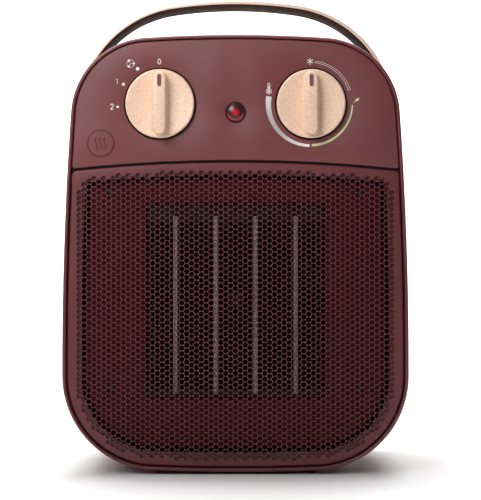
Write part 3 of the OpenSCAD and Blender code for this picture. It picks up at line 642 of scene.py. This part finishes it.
def rear_shell():
    depth = 28
    taper = 1.5
    width = 21 - taper

    def curve(shift):
        return [(taper + shift + width * (1 - math.cos(t)), REAR_Y - depth + (depth - shift) * math.sin(t))
                for t in quarter_turn(12)]

    opening = 38
    opening_bevel = 0.5
    section = [(WALL, SEAM_Y), (SEAM_BEVEL, SEAM_Y), (0, SEAM_Y + SEAM_BEVEL), (0, -6), (0, 10), (0.35, 20),
               (0.85, 30)]
    section += curve(0)
    section += [(opening - opening_bevel, REAR_Y), (opening, REAR_Y - opening_bevel),
                (opening, REAR_Y - WALL)]
    section += curve(WALL)[::-1] + [(WALL, 10)]
    points, faces = ring_shell(section)
    piece = make("rear_shell", points, faces, housing_mat, stands_for=("rear_housing",))

    well_r = 4.2
    well_floor = -4
    mouth_r = 4.9
    tube_r = 6
    beyond = REAR_Y + 3
    well = [(0, well_floor), (well_r, well_floor), (well_r, REAR_Y - 0.6), (mouth_r, REAR_Y + 0.4),
            (mouth_r, beyond), (0, beyond)]
    wells = []
    tubes = []
    for side in (-1, 1):
        for x, z in HOUSING_SCREWS:
            wells.append(revolve(well, (side * x, z), 40))
            tubes.append(cylinder(side * x, z, tube_r, SEAM_Y + 0.2, REAR_Y - 2.2, 40))
        wells.append(handle_pocket(side))
    bush_r = 7
    cord_x, _, cord_z = middle_mm("cord_bush")
    wells.append(cylinder(cord_x, cord_z, bush_r, REAR_Y - 8, REAR_Y + 2, 64))
    plunger_hole_r = 3.4
    plunger_x, plunger_y, _ = middle_mm("tip_plunger")
    wells.append(pillar(plunger_x, plunger_y, plunger_hole_r, -1, 8, 40))
    combine(piece, tubes, "UNION")
    combine(piece, wells, "DIFFERENCE")
    soften(piece, 30)


# ---- strap handle

# Three arcs on each side: the long arch, the shoulder, and a bend that ends upright
STRAP_LOW, STRAP_HIGH = box_mm("handle")
STRAP_R = 240
SHOULDER_R = 64
STRAP_T = 2.4
ARCH_END = math.radians(81.5)
SHOULDER_END = math.radians(36)
strap_c = Vector((0, STRAP_HIGH.z - STRAP_R))
shoulder_c = strap_c + (STRAP_R - SHOULDER_R) * Vector((math.cos(ARCH_END), math.sin(ARCH_END)))
end_cos = math.cos(SHOULDER_END)
BEND_R = (STRAP_HIGH.x - shoulder_c.x - SHOULDER_R * end_cos) / (1 - end_cos)
bend_c = shoulder_c + (SHOULDER_R - BEND_R) * Vector((end_cos, math.sin(SHOULDER_END)))


def strap_path():
    """Points on the outer edge and the outward normals there, from the right end over to the left."""
    half = [(Vector((STRAP_HIGH.x, STRAP_LOW.z + (bend_c.y - STRAP_LOW.z) * i / 4)), Vector((1, 0)))
            for i in range(4)]
    stretches = ((bend_c, BEND_R, 0, SHOULDER_END, 14), (shoulder_c, SHOULDER_R, SHOULDER_END, ARCH_END, 18),
                 (strap_c, STRAP_R, ARCH_END, math.pi / 2, 8))
    for centre, r, start, end, steps in stretches:
        for i in range(0 if start == 0 else 1, steps + 1):
            a = start + (end - start) * i / steps
            n = Vector((math.cos(a), math.sin(a)))
            half.append((centre + r * n, n))
    return half + [(Vector((-p.x, p.y)), Vector((-n.x, n.y))) for p, n in reversed(half[:-1])]


CORNER_POINTS = 5


def strap_ring(p, n, r, grow):
    """Cross-section of the strap with rounded edges, grown on every side."""
    high = grow - r
    low = -STRAP_T - grow + r
    near = STRAP_LOW.y - grow + r
    far = STRAP_HIGH.y + grow - r
    ring = []
    for depth, y, start in ((high, near, 270), (high, far, 0), (low, far, 90), (low, near, 180)):
        for k in range(CORNER_POINTS):
            a = math.radians(start + 90 * k / (CORNER_POINTS - 1))
            q = p + n * (depth + r * math.cos(a))
            ring.append((q.x, y + r * math.sin(a), q.y))
    return ring


def handle_pocket(side):
    """The space that one strap end takes out of the shoulder, with a little room round it."""
    from_x = 60
    room = 0.35
    room_below = Vector((0, 0.4))
    path = [(p, n) for p, n in strap_path() if p.x * side > from_x]
    if path[0][0].y < path[-1][0].y:
        path = path[::-1]
    end_p, end_n = path[-1]
    path.append((end_p - room_below, end_n))
    return loft([strap_ring(p, n, 0.8, room) for p, n in path])


def handle_strap():
    """The strap, with painted shade in dark brown on the faces between the middles of its two inner corners.
    """
    points, faces = loft([strap_ring(p, n, 0.6, 0) for p, n in strap_path()])
    piece = make("handle_strap", points, faces, strap_mat, stands_for=("handle",),
                 sharp=50)
    piece.data.materials.append(strap_shade_mat)
    inner_side = range(2 * CORNER_POINTS + 2, 3 * CORNER_POINTS + 3)
    for face in piece.data.polygons:
        if face.index % (4 * CORNER_POINTS) in inner_side:
            face.material_index = 1


# ---- face

PANEL_INSET = 2.4
PANEL_Y = FRONT_Y + 1
PANEL_T = 2.2
KNOB_LOW, KNOB_HIGH = box_mm("mode_knob")
KNOB_X = -(KNOB_LOW.x + KNOB_HIGH.x) / 2
KNOB_Z = (KNOB_LOW.z + KNOB_HIGH.z) / 2
KNOB_R = (KNOB_HIGH.x - KNOB_LOW.x) / 2
LENS_LOW, LENS_HIGH = box_mm("indicator_lens")
LENS_Z = (LENS_LOW.z + LENS_HIGH.z) / 2
LENS_R = LENS_HIGH.x
KNOB_GAP = 0.9
CUP_R = KNOB_R + KNOB_GAP
CUP_POINTS = 72


def turned_ring(x, z, profile, n):
    """Turns a closed loop of (radius, y) pairs about an axis along Y."""
    return loft([upright(circle(x, z, r, n), y) for r, y in profile], closed_path=True)


def front_panel():
    outer = split_region(PANEL_INSET, SPLIT_GAP / 2, 1.5, True)
    holes = [circle(x, KNOB_Z, CUP_R, CUP_POINTS) for x in (-KNOB_X, KNOB_X)]
    holes.append(circle(0, LENS_Z, LENS_R + 0.35, 48))
    points, faces = plate(outer, holes, PANEL_Y, PANEL_Y + PANEL_T, edge=0.7, edge_steps=4,
                          hole_edge=0.35, hole_steps=3)
    make("front_panel", points, faces, panel_mat, stands_for=("control_panel",))


def knob_cups():
    """Dark dished recesses behind the knobs, each with the hole for the shaft's bushing."""
    bushing_r = 4.9
    wall_r = CUP_R + 2
    cup_floor = PANEL_Y + 1.6
    cup_back = cup_floor + 1.8
    profile = [(bushing_r, cup_floor), (CUP_R, cup_floor), (CUP_R, PANEL_Y + 0.4), (wall_r, PANEL_Y + 1.2),
               (wall_r, cup_back), (bushing_r, cup_back)]
    points, faces = joined(*[turned_ring(x, KNOB_Z, profile, CUP_POINTS) for x in (-KNOB_X, KNOB_X)])
    make("knob_cups", points, faces, black_mat, "housing")


GRILLE_INSET = 2.7
GRILLE_Y = FRONT_Y + 1.2
GRILLE_T = 1.5
HOLE_INRADIUS = 1.32
PITCH_Z = 3.047
PITCH_X = 2.632
FIRST_ROW = -0.4
# Room round the holes' centres: to the outline below and above the height SIDE_FROM, and to the gap
BASE_MARGIN = 6.8
SIDE_MARGIN = 7.6
SIDE_FROM = 38
SPLIT_MARGIN = 5.2
CORNER_ROOM = 7


def grille_holes():
    """Centres of the openings: offset columns that keep clear of the edge and of the arched gap."""
    low_edge = outline(BASE_MARGIN)
    side_edge = split_region(SIDE_MARGIN, -SPLIT_MARGIN, CORNER_ROOM, False)
    columns = int(HALF_W / PITCH_X)
    rows = int(SPLIT_Z / PITCH_Z)
    holes = []
    for i in range(-columns, columns + 1):
        x = i * PITCH_X
        for j in range(rows + 1):
            z = FIRST_ROW + (j + (0.5 if i % 2 else 0)) * PITCH_Z
            edge = side_edge if z > SIDE_FROM else low_edge
            if within(edge, x, z):
                holes.append((x, z))
    return holes


def hexagon(x, z):
    """A hexagon with blunt corners that point sideways."""
    blunt = 12
    r = HOLE_INRADIUS / math.cos(math.radians(30 - blunt))
    turns = [math.radians(60 * k + side) for k in range(6) for side in (-blunt, blunt)]
    return [Vector((x + r * math.cos(a), z + r * math.sin(a))) for a in turns]


def within(loop, x, z):
    """Whether a line from the place to the right crosses the loop an odd number of times."""
    odd = False
    for i, b in enumerate(loop):
        a = loop[i - 1]
        if (a.y > z) != (b.y > z) and x < a.x + (z - a.y) / (b.y - a.y) * (b.x - a.x):
            odd = not odd
    return odd


def front_mesh():
    outer = split_region(GRILLE_INSET, -SPLIT_GAP / 2, 3.4, False)
    holes = [hexagon(x, z) for x, z in grille_holes()]
    points, faces = plate(outer, holes, GRILLE_Y, GRILLE_Y + GRILLE_T, edge=0.9, edge_steps=4, hole_edge=0.08)
    make("perforated_grille", points, faces, grille_mat, stands_for=("front_grille",))


# ---- knobs

KNOB_FRONT = KNOB_LOW.y
DISC_BACK = KNOB_HIGH.y
DISC_FRONT = DISC_BACK - 4.6


def stadium(x, z, w, length):
    """An upright loop with straight sides and round ends."""
    n = 10
    r = w / 2
    top = arc(Vector((x, z + length / 2 - r)), r, 0, math.pi, n)
    bottom = arc(Vector((x, z - length / 2 + r)), r, math.pi, math.tau, n)
    return top + bottom


def knob_disc(x):
    """The disc, with a rounded rim and a face that sinks towards the middle."""
    back_bevel = 0.3
    rim = 0.75
    dish_r = KNOB_R - 1.2
    dish_y = DISC_FRONT + 0.04
    dish = 1.05
    rings = 8
    profile = [(0, DISC_BACK), (KNOB_R - back_bevel, DISC_BACK), (KNOB_R, DISC_BACK - back_bevel),
               (KNOB_R, DISC_FRONT + rim)]
    profile += [(KNOB_R - rim * (1 - math.cos(t)), DISC_FRONT + rim - rim * math.sin(t))
                for t in quarter_turn(5, 1)]
    for i in range(rings + 1):
        r = dish_r * (1 - i / rings)
        profile.append((r, dish_y + dish * (1 - (r / dish_r) ** 2)))
    return revolve(profile, (x, KNOB_Z))


def knob_grip(x):
    """The bar across the disc, whose sides sweep out into the face. Each ring is width, length and y."""
    top_w = 6.35
    top_l = 33.5
    edge = 0.45
    rings = [(9.9, 35.2, DISC_FRONT + 1.6), (9.6, 35, DISC_FRONT + 0.7), (8.7, 34.7, DISC_FRONT - 0.3),
             (7.4, 34.2, DISC_FRONT - 1.2), (6.7, 33.9, DISC_FRONT - 2), (top_w, top_l, KNOB_FRONT + edge)]
    rings += [(top_w - 2 * inward, top_l - 2 * inward, KNOB_FRONT + depth)
              for inward, depth in quarter(edge, 4)[::-1][1:]]
    return loft([upright(stadium(x, KNOB_Z, w, length), y) for w, length, y in rings])


def knob(name, x, cad_node, body):
    points, faces = knob_disc(x)
    piece = make(name, points, faces, champagne_mat, body, (cad_node,), sharp=40)
    combine(piece, [knob_grip(x)], "UNION")
    mark_w = 2.2
    mark_l = 6.6
    mark_z = KNOB_Z + KNOB_R - 3.2 - mark_l / 2

    def mark_shape(levels):
        """A solid with (growth of width and length, depth behind the top of the grip) levels."""
        return loft([upright(stadium(x, mark_z, mark_w + grow, mark_l + grow), KNOB_FRONT + depth)
                     for grow, depth in levels])

    combine(piece, [mark_shape(((0, 0.9), (0, 0.1), (0.5, -0.4)))], "DIFFERENCE")
    soften(piece, 32)
    points, faces = mark_shape(((-0.06, 0.85), (-0.06, 0.35), (-0.3, 0.25)))
    make(name + "_mark", points, faces, mark_mat, body, (cad_node + "_mark",))


def lens_and_ring():
    low, high = box_mm("indicator_ring")
    front = low.y
    inner = LENS_R + 0.05
    neck = LENS_R + 0.3
    rim = high.x
    seat = PANEL_Y - 0.05
    profile = [(inner, high.y), (neck, high.y), (neck, seat), (rim, seat), (rim, front + 0.3)]
    profile += [(rim - inward, front + depth) for inward, depth in quarter(0.2, 4)[::-1][1:]]
    profile += [(inner, front + 0.1)]
    points, faces = turned_ring(0, LENS_Z, profile, 64)
    make("lens_ring", points, faces, black_mat, "housing", ("indicator_ring",))
    base = front + 0.35
    dome = [(0, LENS_HIGH.y), (LENS_R, LENS_HIGH.y), (LENS_R, base)]
    dome += [(LENS_R * math.cos(t), base - (base - LENS_LOW.y) * math.sin(t))
             for t in quarter_turn(12, 1)[:-1]]
    dome += [(0, LENS_LOW.y)]
    points, faces = revolve(dome, (0, LENS_Z), 64)
    make("lens_dome", points, faces, lens_mat, "housing", ("indicator_lens",))


# ---- printed marks

PRINT_Y = PANEL_Y - 0.03
PRINT_T = 0.05


def sheet_of(loop, holes=()):
    """A thin printed shape: a plate with all but square edges."""
    bevel = 0.005
    return plate(loop, list(holes), PRINT_Y, PRINT_Y + PRINT_T, edge=bevel, edge_steps=1, hole_edge=bevel)


def band(points, widths):
    """Loop round an open line of points, with a width for each point."""
    left, right = [], []
    for i, (p, width) in enumerate(zip(points, widths)):
        a = points[max(i - 1, 0)]
        b = points[min(i + 1, len(points) - 1)]
        t = (b - a).normalized()
        n = Vector((-t.y, t.x)) * (width / 2)
        left.append(p + n)
        right.append(p - n)
    return right + left[::-1]


def even_band(points, width):
    return band(points, [width] * len(points))


def line(x0, z0, x1, z1, w):
    return even_band([Vector((x0, z0)), Vector((x1, z1))], w)


def polar(cx, cz, radius, degrees):
    """A point at an angle measured anticlockwise from straight up."""
    a = math.radians(degrees)
    return Vector((cx - radius * math.sin(a), cz + radius * math.cos(a)))


def polar_band(cx, radii, turns, widths):
    """A band round a knob; radius, angle and width each go from a first to a last value."""
    steps = 40

    def between(pair, t):
        return pair[0] + (pair[1] - pair[0]) * t

    parts = [i / steps for i in range(steps + 1)]
    points = [polar(cx, KNOB_Z, between(radii, t), between(turns, t)) for t in parts]
    return anticlockwise(band(points, [between(widths, t) for t in parts]))


def anticlockwise(loop):
    area = sum(loop[i - 1].x * p.y - p.x * loop[i - 1].y for i, p in enumerate(loop))
    return loop if area > 0 else loop[::-1]


def zero(x, z, w, h, stroke):
    turns = [math.tau * i / 32 for i in range(32)]
    outer = [Vector((x + w / 2 * math.cos(a), z + h / 2 * math.sin(a))) for a in turns]
    return sheet_of(outer, [offset_loop(outer, stroke)])


def numeral_one(x, z, h, w):
    stem = line(x, z - h / 2, x, z + h / 2, w)
    flag = line(x - 0.3 * h, z + 0.22 * h, x + 0.1 * w, z + h / 2 - 0.1, w)
    return [sheet_of(stem), sheet_of(flag)]


def numeral_two(x, z, h, w):
    r = 0.27 * h
    bow = arc(Vector((x, z + h / 2 - r)), r, math.radians(170), math.radians(-35), 12)
    tail = Vector((x - r, z - h / 2 + w / 2))
    base = line(x - r - w * 0.3, tail.y, x + r, tail.y, w)
    return [sheet_of(anticlockwise(even_band(bow + [tail], w))), sheet_of(base)]


def fan_symbol(x, z, r):
    """Three spokes that end in dots, with short arcs of a ring between them."""
    parts = []
    centre = Vector((x, z))
    for k in range(3):
        a = math.radians(120 * k)
        out = Vector((math.cos(a), math.sin(a)))
        tip = centre + out * r * 0.8
        near = centre + out * r * 0.1
        parts.append(sheet_of(circle(tip.x, tip.y, r * 0.27, 16)))
        parts.append(sheet_of(line(near.x, near.y, tip.x, tip.y, 0.24)))
        for start in (24, 52, 80):
            rim = arc(centre, r * 0.86, a + math.radians(start), a + math.radians(start + 17), 4)
            parts.append(sheet_of(anticlockwise(even_band(rim, 0.3))))
    return parts


def frost_symbol(x, z, r):
    """Three crossing lines."""
    parts = []
    for k in range(3):
        a = math.radians(90 + 60 * k)
        d = Vector((math.cos(a), math.sin(a))) * r
        parts.append(sheet_of(line(x - d.x, z - d.y, x + d.x, z + d.y, 0.36)))
    return parts


def thermometer(x, z):
    """Outlined bulb and tube, 6 mm high, with the liquid standing in it."""
    bulb_r = 1.5
    tube_r = 0.7
    low = z - bulb_r
    bulb = circle(x, low, bulb_r, 24)
    tube = rounded_box(x - tube_r, x + tube_r, low + 1.35, z + 3, 0.65, 4)
    return [sheet_of(bulb, [circle(x, low, 1.15, 24)]), sheet_of(tube, [offset_loop(tube, 0.3)]),
            sheet_of(line(x, low, x, z + 1.4, 0.4)), sheet_of(circle(x, low, 0.7, 16))]


def leaf(x, z, s):
    """A leaf seen from the side with its stalk: two arcs that meet in a point at each end."""
    half = math.radians(50)
    lean = math.radians(40)
    r = s / (2 * math.sin(half))
    middle = Vector((x, z))
    along = Vector((math.cos(lean), math.sin(lean)))
    across = Vector((-along.y, along.x)) * r * math.cos(half)
    up = lean + math.pi / 2
    down = lean - math.pi / 2
    edge = arc(middle - across, r, up - half, up + half, 10)
    edge += arc(middle + across, r, down - half, down + half, 10)[1:-1]
    base = middle - along * s / 2
    end = base - along * 0.3 * s
    return [sheet_of(anticlockwise(edge)), sheet_of(line(end.x, end.y, base.x, base.y, 0.3))]


def dot(cx, radius, degrees, r):
    place = polar(cx, KNOB_Z, radius, degrees)
    return sheet_of(circle(place.x, place.y, r, 20))


def printed_marks():
    """Signs and scales round the two knobs, placed from the knobs' middles."""
    left = -KNOB_X
    right = KNOB_X
    digit_h = 3
    stroke = 0.4
    white = [zero(left - 0.4, KNOB_Z + 22.8, 1.9, digit_h, 0.36), dot(left, 22.4, 32.6, 0.97),
             dot(left, 22.9, 94, 0.67)]
    white += fan_symbol(left - 15.9, KNOB_Z + 21.7, 2.3)
    white += numeral_two(left - 25.9, KNOB_Z - 1.6, digit_h, stroke)
    white += frost_symbol(right - 0.5, KNOB_Z + 22.9, 1.8)
    white += thermometer(right - 22.7, KNOB_Z + 8.3)
    swelling = polar_band(right, (22.7, 22.0), (-6, -70), (1.0, 1.3))
    white.append(sheet_of(swelling, [offset_loop(swelling, 0.17)]))
    green = [sheet_of(polar_band(right, (22.3, 22.3), (-91.4, -179), (0.75, 1.35))),
             dot(left, 22.35, 61.9, 0.95)]
    green += numeral_one(left - 23, KNOB_Z + 12.2, digit_h, stroke)
    green += leaf(right + 24.9, KNOB_Z + 2.2, 3)
    fading = [sheet_of(polar_band(right, (22.5, 23.05), (-182, -280), (1.35, 3.0)))]
    for name, parts, material in (("print_white", white, print_mat), ("print_green", green, green_mat),
                                  ("print_grey", fading, arc_material((right, KNOB_Z)))):
        points, faces = joined(*parts)
        make(name, points, faces, material, "housing")


def raised_symbol():
    """A low raised ring with three rising waves, moulded into the panel; its darker colour is painted shade.
    """
    x, z = -72.8, 178.5
    outer_r = 7.7
    ring_w = 1.1
    wave_w = 0.8
    wave_h = 6.4
    swing = 0.55
    front = PANEL_Y - 0.16
    back = PANEL_Y + 0.2
    edge = 0.15
    inner = circle(x, z, outer_r - ring_w, 64)
    parts = [plate(circle(x, z, outer_r, 64), [inner], front, back, edge=edge, edge_steps=2, hole_edge=edge)]
    for centre_x in (x - 2.4, x, x + 2.4):
        wave = [Vector((centre_x + swing * math.sin(t * math.tau), z + wave_h * (t - 0.5)))
                for t in [i / 16 for i in range(17)]]
        parts.append(plate(even_band(wave, wave_w), [], front, back, edge=edge, edge_steps=2))
    points, faces = joined(*parts)
    make("raised_symbol", points, faces, symbol_shade_mat)


# ---- outlet, core and rear

CORE_Z = 93.3
OUTLET_W = 98.2
OUTLET_H = 106.2
BAFFLE_SCREWS = [(x, z) for x in (-68.1, 68.1) for z in (152.5, 45.8)]
BAR_PITCH = 21.9
BAR_T = 2.3


def outlet_baffle():
    """Inner plate with a collar behind its opening and a socket behind each screw hole."""
    low, _ = box_mm("baffle")
    front = low.y
    x = OUTLET_W / 2
    z = OUTLET_H / 2
    hole_r = 2.2
    screw_r = 1.4
    socket_r = 4
    outer = split_region(12.3, -8, 6, False)
    opening = rounded_box(-x, x, CORE_Z - z, CORE_Z + z, 3)
    screws = [circle(sx, sz, hole_r, 24) for sx, sz in BAFFLE_SCREWS]
    parts = [plate(outer, [opening] + screws, front, front + 2, edge=1.2, hole_edge=1.3, hole_steps=4)]
    wider = offset_loop(opening, -1.8)
    rings = [upright(loop, front + depth)
             for loop, depth in ((opening, 1.8), (opening, 4), (wider, 4), (wider, 1.8))]
    parts.append(loft(rings, closed_path=True))
    socket = [(r, front + depth) for r, depth in ((hole_r, 1.9), (socket_r, 1.9), (socket_r, 6.9),
                                                  (screw_r, 6.9), (screw_r, 4), (hole_r, 4))]
    parts += [turned_ring(sx, sz, socket, 24) for sx, sz in BAFFLE_SCREWS]
    points, faces = joined(*parts)
    make("outlet_baffle", points, faces, baffle_mat, "housing", ("baffle",))


def folded_strip(x0, width, low, high):
    """A zigzag of thin sheet between two heights: two walls, and a front and a back of one quad per fold."""
    fold = 1.7
    sheet = 0.55
    count = int((high.z - low.z) / (fold / 2))
    folds = [(x0 + sheet + (i % 2) * (width - 2 * sheet), low.z + i * fold / 2) for i in range(count + 1)]
    loop = [(x + sheet, z) for x, z in folds] + [(x - sheet, z) for x, z in reversed(folds)]
    total = len(loop)
    points = [(x, y, z) for y in (low.y, high.y) for x, z in loop]
    faces = [(i, (i + 1) % total, total + (i + 1) % total, total + i) for i in range(total)]
    for i in range(count):
        quad = (i, i + 1, total - 2 - i, total - 1 - i)
        faces.append(quad)
        faces.append(tuple(total + q for q in reversed(quad)))
    return points, faces


def core_fins():
    """Folded strips on both sides of each bar."""
    low, high = box_mm("ptc_fins")
    strip_w = 9.5
    reach = BAR_T / 2 + 0.1
    strips = [folded_strip(x0, strip_w, low, high) for k in (-1.5, -0.5, 0.5, 1.5)
              for x0 in (k * BAR_PITCH + reach, k * BAR_PITCH - reach - strip_w)]
    points, faces = joined(*strips)
    make("core_fins", points, faces, fin_mat, "housing", ("ptc_fins",), sharp=20)


def intake_cover():
    """Slotted cover. Its plate is drawn facing -Y, mirrored in X, and then turned to the rear."""
    inset = 38.4
    slot_w = 42.5
    slot_h = 3.6
    slots = [rounded_box(x0, x0 + slot_w, z0, z0 + slot_h, 1.6, 4)
             for z0 in range(56, 176, 7) for x0 in (-slot_w - 1.5, 1.5)]
    points, faces = plate(mirrored(outline(inset)), [mirrored(slot) for slot in slots], 0, 2,
                          hole_edge=0.4, hole_steps=2)
    points = [(-x, REAR_Y - y, z) for x, y, z in points]
    skirt = ring_shell([(inset, REAR_Y - 1.6), (inset, REAR_Y - 7), (inset + 2, REAR_Y - 7),
                        (inset + 2, REAR_Y - 1.9)])
    points, faces = joined((points, faces), skirt)
    piece = make("intake_cover", points, faces, housing_mat, "rear_cover",
                 ("filter_cover",))
    grip = plate(rounded_box(-14, 14, 184, 192, 3.5), [], REAR_Y - 1.1, REAR_Y + 1.2, edge=0.8)
    combine(piece, [grip], "DIFFERENCE")
    soften(piece, 35)


def foot(name, node):
    """Two feet, each a block with a rounded underside and the stem that holds it in the housing."""
    low, high = box_mm(node)
    half_w = 2
    half_l = 6
    corner_r = 1.5
    stem_r = 1.6
    top = high.z - 4.5
    y = (low.y + high.y) / 2
    parts = []
    for side in (-1, 1):
        x = side * (high.x - half_w)
        rings = []
        for s, z in ((0.9, 0), (0.35, 0.15), (0, 0.7), (0, top)):
            w = half_w - s
            length = half_l - s
            loop = rounded_box(x - w, x + w, y - length, y + length, corner_r - s, 4)
            rings.append([(p.x, p.y, z) for p in loop])
        parts += [loft(rings), pillar(x, y, stem_r, top, high.z, 24)]
    points, faces = joined(*parts)
    make(name, points, faces, housing_mat, "housing", (node,))


front_shell()
gap_shade_strip()
rear_shell()
handle_strap()
front_panel()
knob_cups()
front_mesh()
knob("knob_left", -KNOB_X, "mode_knob", "mode_knob")
knob("knob_right", KNOB_X, "thermostat_knob", "thermostat_knob")
lens_and_ring()
printed_marks()
raised_symbol()
outlet_baffle()
core_fins()
intake_cover()
foot("foot_front", "front_feet")
foot("foot_rear", "rear_feet")

SLOT_MATERIALS = {
    "housing_plastic": housing_mat, "baffle_plastic": baffle_mat, "foot_plastic": housing_mat,
    "mark_plastic": mark_mat, "champagne_metal": strap_mat, "champagne_paint": champagne_mat,
    "red_lens": lens_mat, "lamp_glass": lens_mat, "black_plastic": black_mat, "white_plastic": white_mat,
    "white_ceramic": ceramic_mat, "steel": steel_mat, "lamination_steel": stack_mat, "aluminium": alloy_mat,
    "dark_fins": fin_mat, "brass": brass_mat, "copper_winding": coil_mat, "filter_net": net_mat,
    "black_rubber": rubber_mat, "lead_insulation": lead_mat,
}
NODE_MATERIALS = {"ptc_bars": bar_mat, "ptc_top_frame": black_mat, "ptc_bottom_frame": black_mat,
                  "ptc_side_springs": fin_mat, "baffle_screws": fin_mat}
slot_of = {part["node"]: part["material_slot"] for part in frame["record"]["subparts"]}
for name, node in frame["nodes"].items():
    node.data.materials.clear()
    node.data.materials.append(NODE_MATERIALS.get(name, SLOT_MATERIALS[slot_of[name]]))

# ---- stage, light and camera


def stage_surface():
    """Floor that sweeps up into a back wall."""
    sweep_from = 1.2
    sweep = 1.0
    profile = [(-2.5, 0), (sweep_from, 0)]
    profile += [(sweep_from + sweep * math.sin(a), sweep * (1 - math.cos(a))) for a in quarter_turn(16, 1)]
    profile.append((sweep_from + sweep, 4))
    points = [(x, y, z) for y, z in profile for x in (-4, 4)]
    faces = [(2 * i, 2 * i + 1, 2 * i + 3, 2 * i + 2) for i in range(len(profile) - 1)]
    mesh = bpy.data.meshes.new("floor")
    mesh.from_pydata(points, [], faces)
    mesh.polygons.foreach_set("use_smooth", [True] * len(mesh.polygons))
    floor = bpy.data.objects.new("floor", mesh)
    bpy.context.scene.collection.objects.link(floor)
    material, _, _, shader = new_material("floor_paper")
    shader.inputs["Base Color"].default_value = (0.9, 0.9, 0.9, 1)
    shader.inputs["Roughness"].default_value = 0.8
    mesh.materials.append(material)


def area_light(name, place, target, size, power, beam):
    """A lamp that the camera doesn't see. Its beam is the full angle of its cone in degrees."""
    data = bpy.data.lights.new(name, "AREA")
    data.shape = "RECTANGLE"
    data.size, data.size_y = size
    data.energy = power
    data.spread = math.radians(beam)
    light = bpy.data.objects.new(name, data)
    bpy.context.scene.collection.objects.link(light)
    light.location = place
    light.visible_camera = False
    light.rotation_euler = (Vector(target) - Vector(place)).to_track_quat("-Z", "Y").to_euler()


stage_surface()
area_light("key", (-0.34, -0.5, 0.58), (-0.12, 0, 0.36), (0.42, 0.42), 0.9, 66)
area_light("veil", (-0.4, -1.15, 0.62), (-0.04, 0, 0.34), (0.45, 0.4), 0.105, 34)
area_light("top", (-0.08, 0.2, 1.1), (-0.04, 0.02, 0.1), (1.2, 0.6), 11.5, 130)
area_light("wall_left", (-1.5, 1.1, 1.2), (-0.2, 2.2, 0.5), (0.8, 1.2), 32, 120)
area_light("wall_right", (1.5, 1.1, 1.2), (0.2, 2.2, 0.5), (0.8, 1.2), 32, 120)

world = bpy.data.worlds.new("studio")
world.use_nodes = True
world.node_tree.nodes["Background"].inputs["Color"].default_value = (1, 1, 1, 1)
world.node_tree.nodes["Background"].inputs["Strength"].default_value = 0.07
bpy.context.scene.world = world
bpy.context.scene.view_settings.view_transform = "Standard"

CAMERA_DISTANCE = 1.0
CAMERA_HEIGHT = 0.1264
camera_data = bpy.data.cameras.new("camera")
camera_data.lens = 133.7
camera_data.sensor_width = 36
camera_data.shift_x = 0.01
camera_data.shift_y = -0.02
camera = bpy.data.objects.new("camera", camera_data)
bpy.context.scene.collection.objects.link(camera)
camera.location = (0, FRONT_Y * MM - CAMERA_DISTANCE, CAMERA_HEIGHT)
camera.rotation_euler = (math.pi / 2, 0, 0)
bpy.context.scene.camera = camera
